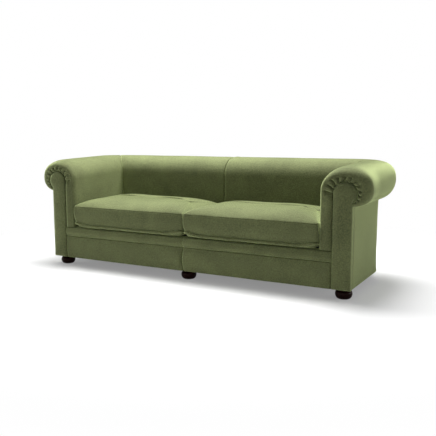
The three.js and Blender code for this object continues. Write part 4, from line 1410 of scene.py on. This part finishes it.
INNER_FINISHES = {
    "timber_across": ["front_rail", "rear_rail", "back_top_rail", "back_tuck_rail"],
    "timber_deep": ["centre_rail", *on_both_sides("base_rail", "tuck_rail", "arm_top_rail")],
    "timber_upright": [
        "back_centre_upright", *on_both_sides("front_foot_block", "rear_foot_block")
    ],
    "plywood": on_both_sides("arm_front_board", "rear_corner_post"),
    "steel": ["front_spring_clip_strip", "rear_spring_clip_strip"]
    + [f"seat_spring_{i}" for i in range(1, 9)]
    + [f"{place}_foot_bolt" for place in FEET],
}


def give_finish(node_name, finish_name):
    """Give a part of the frame its finish in place of the plain one it came with."""
    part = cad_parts[node_name]
    material, _ = finish(finish_name)
    if not part.material_slots:
        part.data.materials.append(material)
    for material_slot in part.material_slots:
        material_slot.material = material


# Studio: each lamp's place, aim, size and power, the light all round, and the camera as
# fitted to the photograph

LAMPS = {
    "Overhead lamp": ((-0.3, 0.4, 3.0), (-0.2, 0.1, 0.4), (2.8, 1.5), 240.0),
    "Right lamp": ((2.9, 0.5, 0.5), (1.1, 0.1, 0.4), (1.4, 0.5), 13.0),
    "Left lamp": ((-3.6, -0.7, 1.0), (-1.1, -0.4, 0.45), (1.2, 1.0), 18.0),
}
FILL_COLOUR = (0.97, 0.985, 1.0, 1.0)
FILL_STRENGTH = 0.22
CAMERA_PLACE = (1.9374, -3.5147, 0.8796)
CAMERA_TURN = (math.radians(82.36), 0.0, math.radians(28.62))
CAMERA_LENS = 49.84
FLOOR_REACH = 30.0
FLOOR_STEPS = 12


def set_up(name, data):
    """Put a lamp, a camera or the floor in the scene."""
    placed = bpy.data.objects.new(name, data)
    bpy.context.scene.collection.objects.link(placed)
    return placed


def area_lamp(name, place, aim, size, power):
    data = bpy.data.lights.new(name, "AREA")
    data.shape = "RECTANGLE"
    data.size, data.size_y = size
    data.energy = power
    lamp = set_up(name, data)
    lamp.location = place
    lamp.rotation_euler = (Vector(aim) - Vector(place)).to_track_quat("-Z", "Y").to_euler()


def studio_floor():
    places = spread(-FLOOR_REACH, FLOOR_REACH, FLOOR_STEPS)
    count = FLOOR_STEPS + 1
    faces = [
        (i * count + j, (i + 1) * count + j, (i + 1) * count + j + 1, i * count + j + 1)
        for i in range(FLOOR_STEPS)
        for j in range(FLOOR_STEPS)
    ]
    mesh = bpy.data.meshes.new("studio_floor")
    mesh.from_pydata([(x, y, 0.0) for x in places for y in places], [], faces)
    mesh.materials.append(floor_paint(bpy.context.scene.sofa_colours))
    set_up("studio_floor", mesh)


def studio_world():
    world = bpy.context.scene.world = bpy.data.worlds.new("Studio")
    world.use_nodes = True
    tree = world.node_tree
    fill = tree.nodes["Background"]
    fill.inputs["Color"].default_value = FILL_COLOUR
    fill.inputs["Strength"].default_value = FILL_STRENGTH
    white = node(tree, "Background", {"Color": (1, 1, 1, 1), "Strength": 1.0}).outputs[0]
    sky = {0: backdrop_rays(tree), 1: fill.outputs[0], 2: white}
    blend = node(tree, "MixShader", sky).outputs[0]
    tree.links.new(blend, tree.nodes["World Output"].inputs["Surface"])


def studio_camera():
    data = bpy.data.cameras.new("Camera")
    data.sensor_width = 36.0
    data.lens = CAMERA_LENS
    camera = bpy.context.scene.camera = set_up("Camera", data)
    camera.location = CAMERA_PLACE
    camera.rotation_euler = CAMERA_TURN


# Operators

DONE = {"FINISHED"}


class SofaStage(bpy.types.Operator):
    """Set up the camera, the lamps, the pale floor and the white backdrop"""

    bl_idname = "sofa.stage"
    bl_label = "Studio"

    def execute(self, context):
        studio_camera()
        studio_floor()
        studio_world()
        for name, values in LAMPS.items():
            area_lamp(name, *values)
        context.scene.view_settings.view_transform = "Standard"
        return DONE


class SofaArmCovers(bpy.types.Operator):
    """Cover the inside of both arms, over the roll and back to the mitres"""

    bl_idname = "sofa.arm_covers"
    bl_label = "Arm covers"

    def execute(self, context):
        for side, sign in SIDES:
            arm_cover(side, sign)
        return DONE


class SofaBackCover(bpy.types.Operator):
    """Cover the inside back in two halves with a seam in the middle"""

    bl_idname = "sofa.back_cover"
    bl_label = "Back cover"

    def execute(self, context):
        back_cover()
        return DONE


class SofaOutsidePanels(bpy.types.Operator):
    """Cover the outside of the arms and of the back"""

    bl_idname = "sofa.outside_panels"
    bl_label = "Outside panels"

    def execute(self, context):
        for side, sign in SIDES:
            outside_arm_panel(side, sign)
        outside_back_panel()
        return DONE


class SofaFacings(bpy.types.Operator):
    """Pad the keyhole facings of both arm fronts"""

    bl_idname = "sofa.facings"
    bl_label = "Facings"

    def execute(self, context):
        for side, sign in SIDES:
            facing(side, sign)
        return DONE


class SofaPleatedBorders(bpy.types.Operator):
    """Pleat the border round the head of both facings"""

    bl_idname = "sofa.pleated_borders"
    bl_label = "Pleated borders"

    def execute(self, context):
        for side, sign in SIDES:
            pleated_border(side, sign)
        return DONE


class SofaSeatFront(bpy.types.Operator):
    """Cover the seat front: the rounded lip, and the pillowed panel below it"""

    bl_idname = "sofa.seat_front"
    bl_label = "Seat front"

    def execute(self, context):
        front_panel("front_lip", lip_section, 0.003)
        front_panel("lower_front_panel", lower_section, 0.008)
        return DONE


class SofaSeatCushions(bpy.types.Operator):
    """Sew and fill the two loose seat cushions"""

    bl_idname = "sofa.seat_cushions"
    bl_label = "Seat cushions"

    def execute(self, context):
        for side, sign in SIDES:
            seat_cushion(side, sign)
        return DONE


class SofaCushionZips(bpy.types.Operator):
    """Sew a zip with its slider into the rear boxing of each cushion"""

    bl_idname = "sofa.cushion_zips"
    bl_label = "Cushion zips"

    def execute(self, context):
        for side, _ in SIDES:
            cushion_zip(side)
        return DONE


class SofaFeet(bpy.types.Operator):
    """Turn the six bun feet"""

    bl_idname = "sofa.feet"
    bl_label = "Feet"

    def execute(self, context):
        for place in FEET:
            bun_foot(place)
        return DONE


class SofaPlatform(bpy.types.Operator):
    """Lay the platform cloth under the cushions and staple the lining under the frame"""

    bl_idname = "sofa.platform"
    bl_label = "Platform and lining"

    def execute(self, context):
        seat_deck()
        dust_cover()
        return DONE


class SofaInnerFrame(bpy.types.Operator):
    """Give the timber, plywood and steel inside the sofa their finishes"""

    bl_idname = "sofa.inner_frame"
    bl_label = "Inner frame"

    def execute(self, context):
        for finish_name, node_names in INNER_FINISHES.items():
            for node_name in node_names:
                give_finish(node_name, finish_name)
        return DONE


OPERATORS = (
    SofaStage,
    SofaArmCovers,
    SofaBackCover,
    SofaOutsidePanels,
    SofaFacings,
    SofaPleatedBorders,
    SofaSeatFront,
    SofaSeatCushions,
    SofaCushionZips,
    SofaFeet,
    SofaPlatform,
    SofaInnerFrame,
)


class SofaPanel(bpy.types.Panel):
    """Steps that dress the sofa, and the sizes and colours they use"""

    bl_idname = "VIEW3D_PT_sofa"
    bl_label = "Roll arm sofa"
    bl_space_type = "VIEW_3D"
    bl_region_type = "UI"
    bl_category = "Sofa"

    def draw(self, context):
        for group in (context.scene.sofa_sizes, context.scene.sofa_colours):
            column = self.layout.column()
            for key in group.__annotations__:
                column.prop(group, key)
        for operator in OPERATORS:
            self.layout.operator(operator.bl_idname)


CLASSES = (SofaSizes, SofaColours, *OPERATORS, SofaPanel)


def register():
    for made in CLASSES:
        bpy.utils.register_class(made)
    bpy.types.Scene.sofa_sizes = PointerProperty(type=SofaSizes)
    bpy.types.Scene.sofa_colours = PointerProperty(type=SofaColours)


def unregister():
    del bpy.types.Scene.sofa_colours
    del bpy.types.Scene.sofa_sizes
    for made in reversed(CLASSES):
        bpy.utils.unregister_class(made)


def main():
    register()
    for operator in OPERATORS:
        family, action = operator.bl_idname.split(".")
        getattr(getattr(bpy.ops, family), action)()
    bpy.context.view_layer.update()


if __name__ == "__main__":
    main()
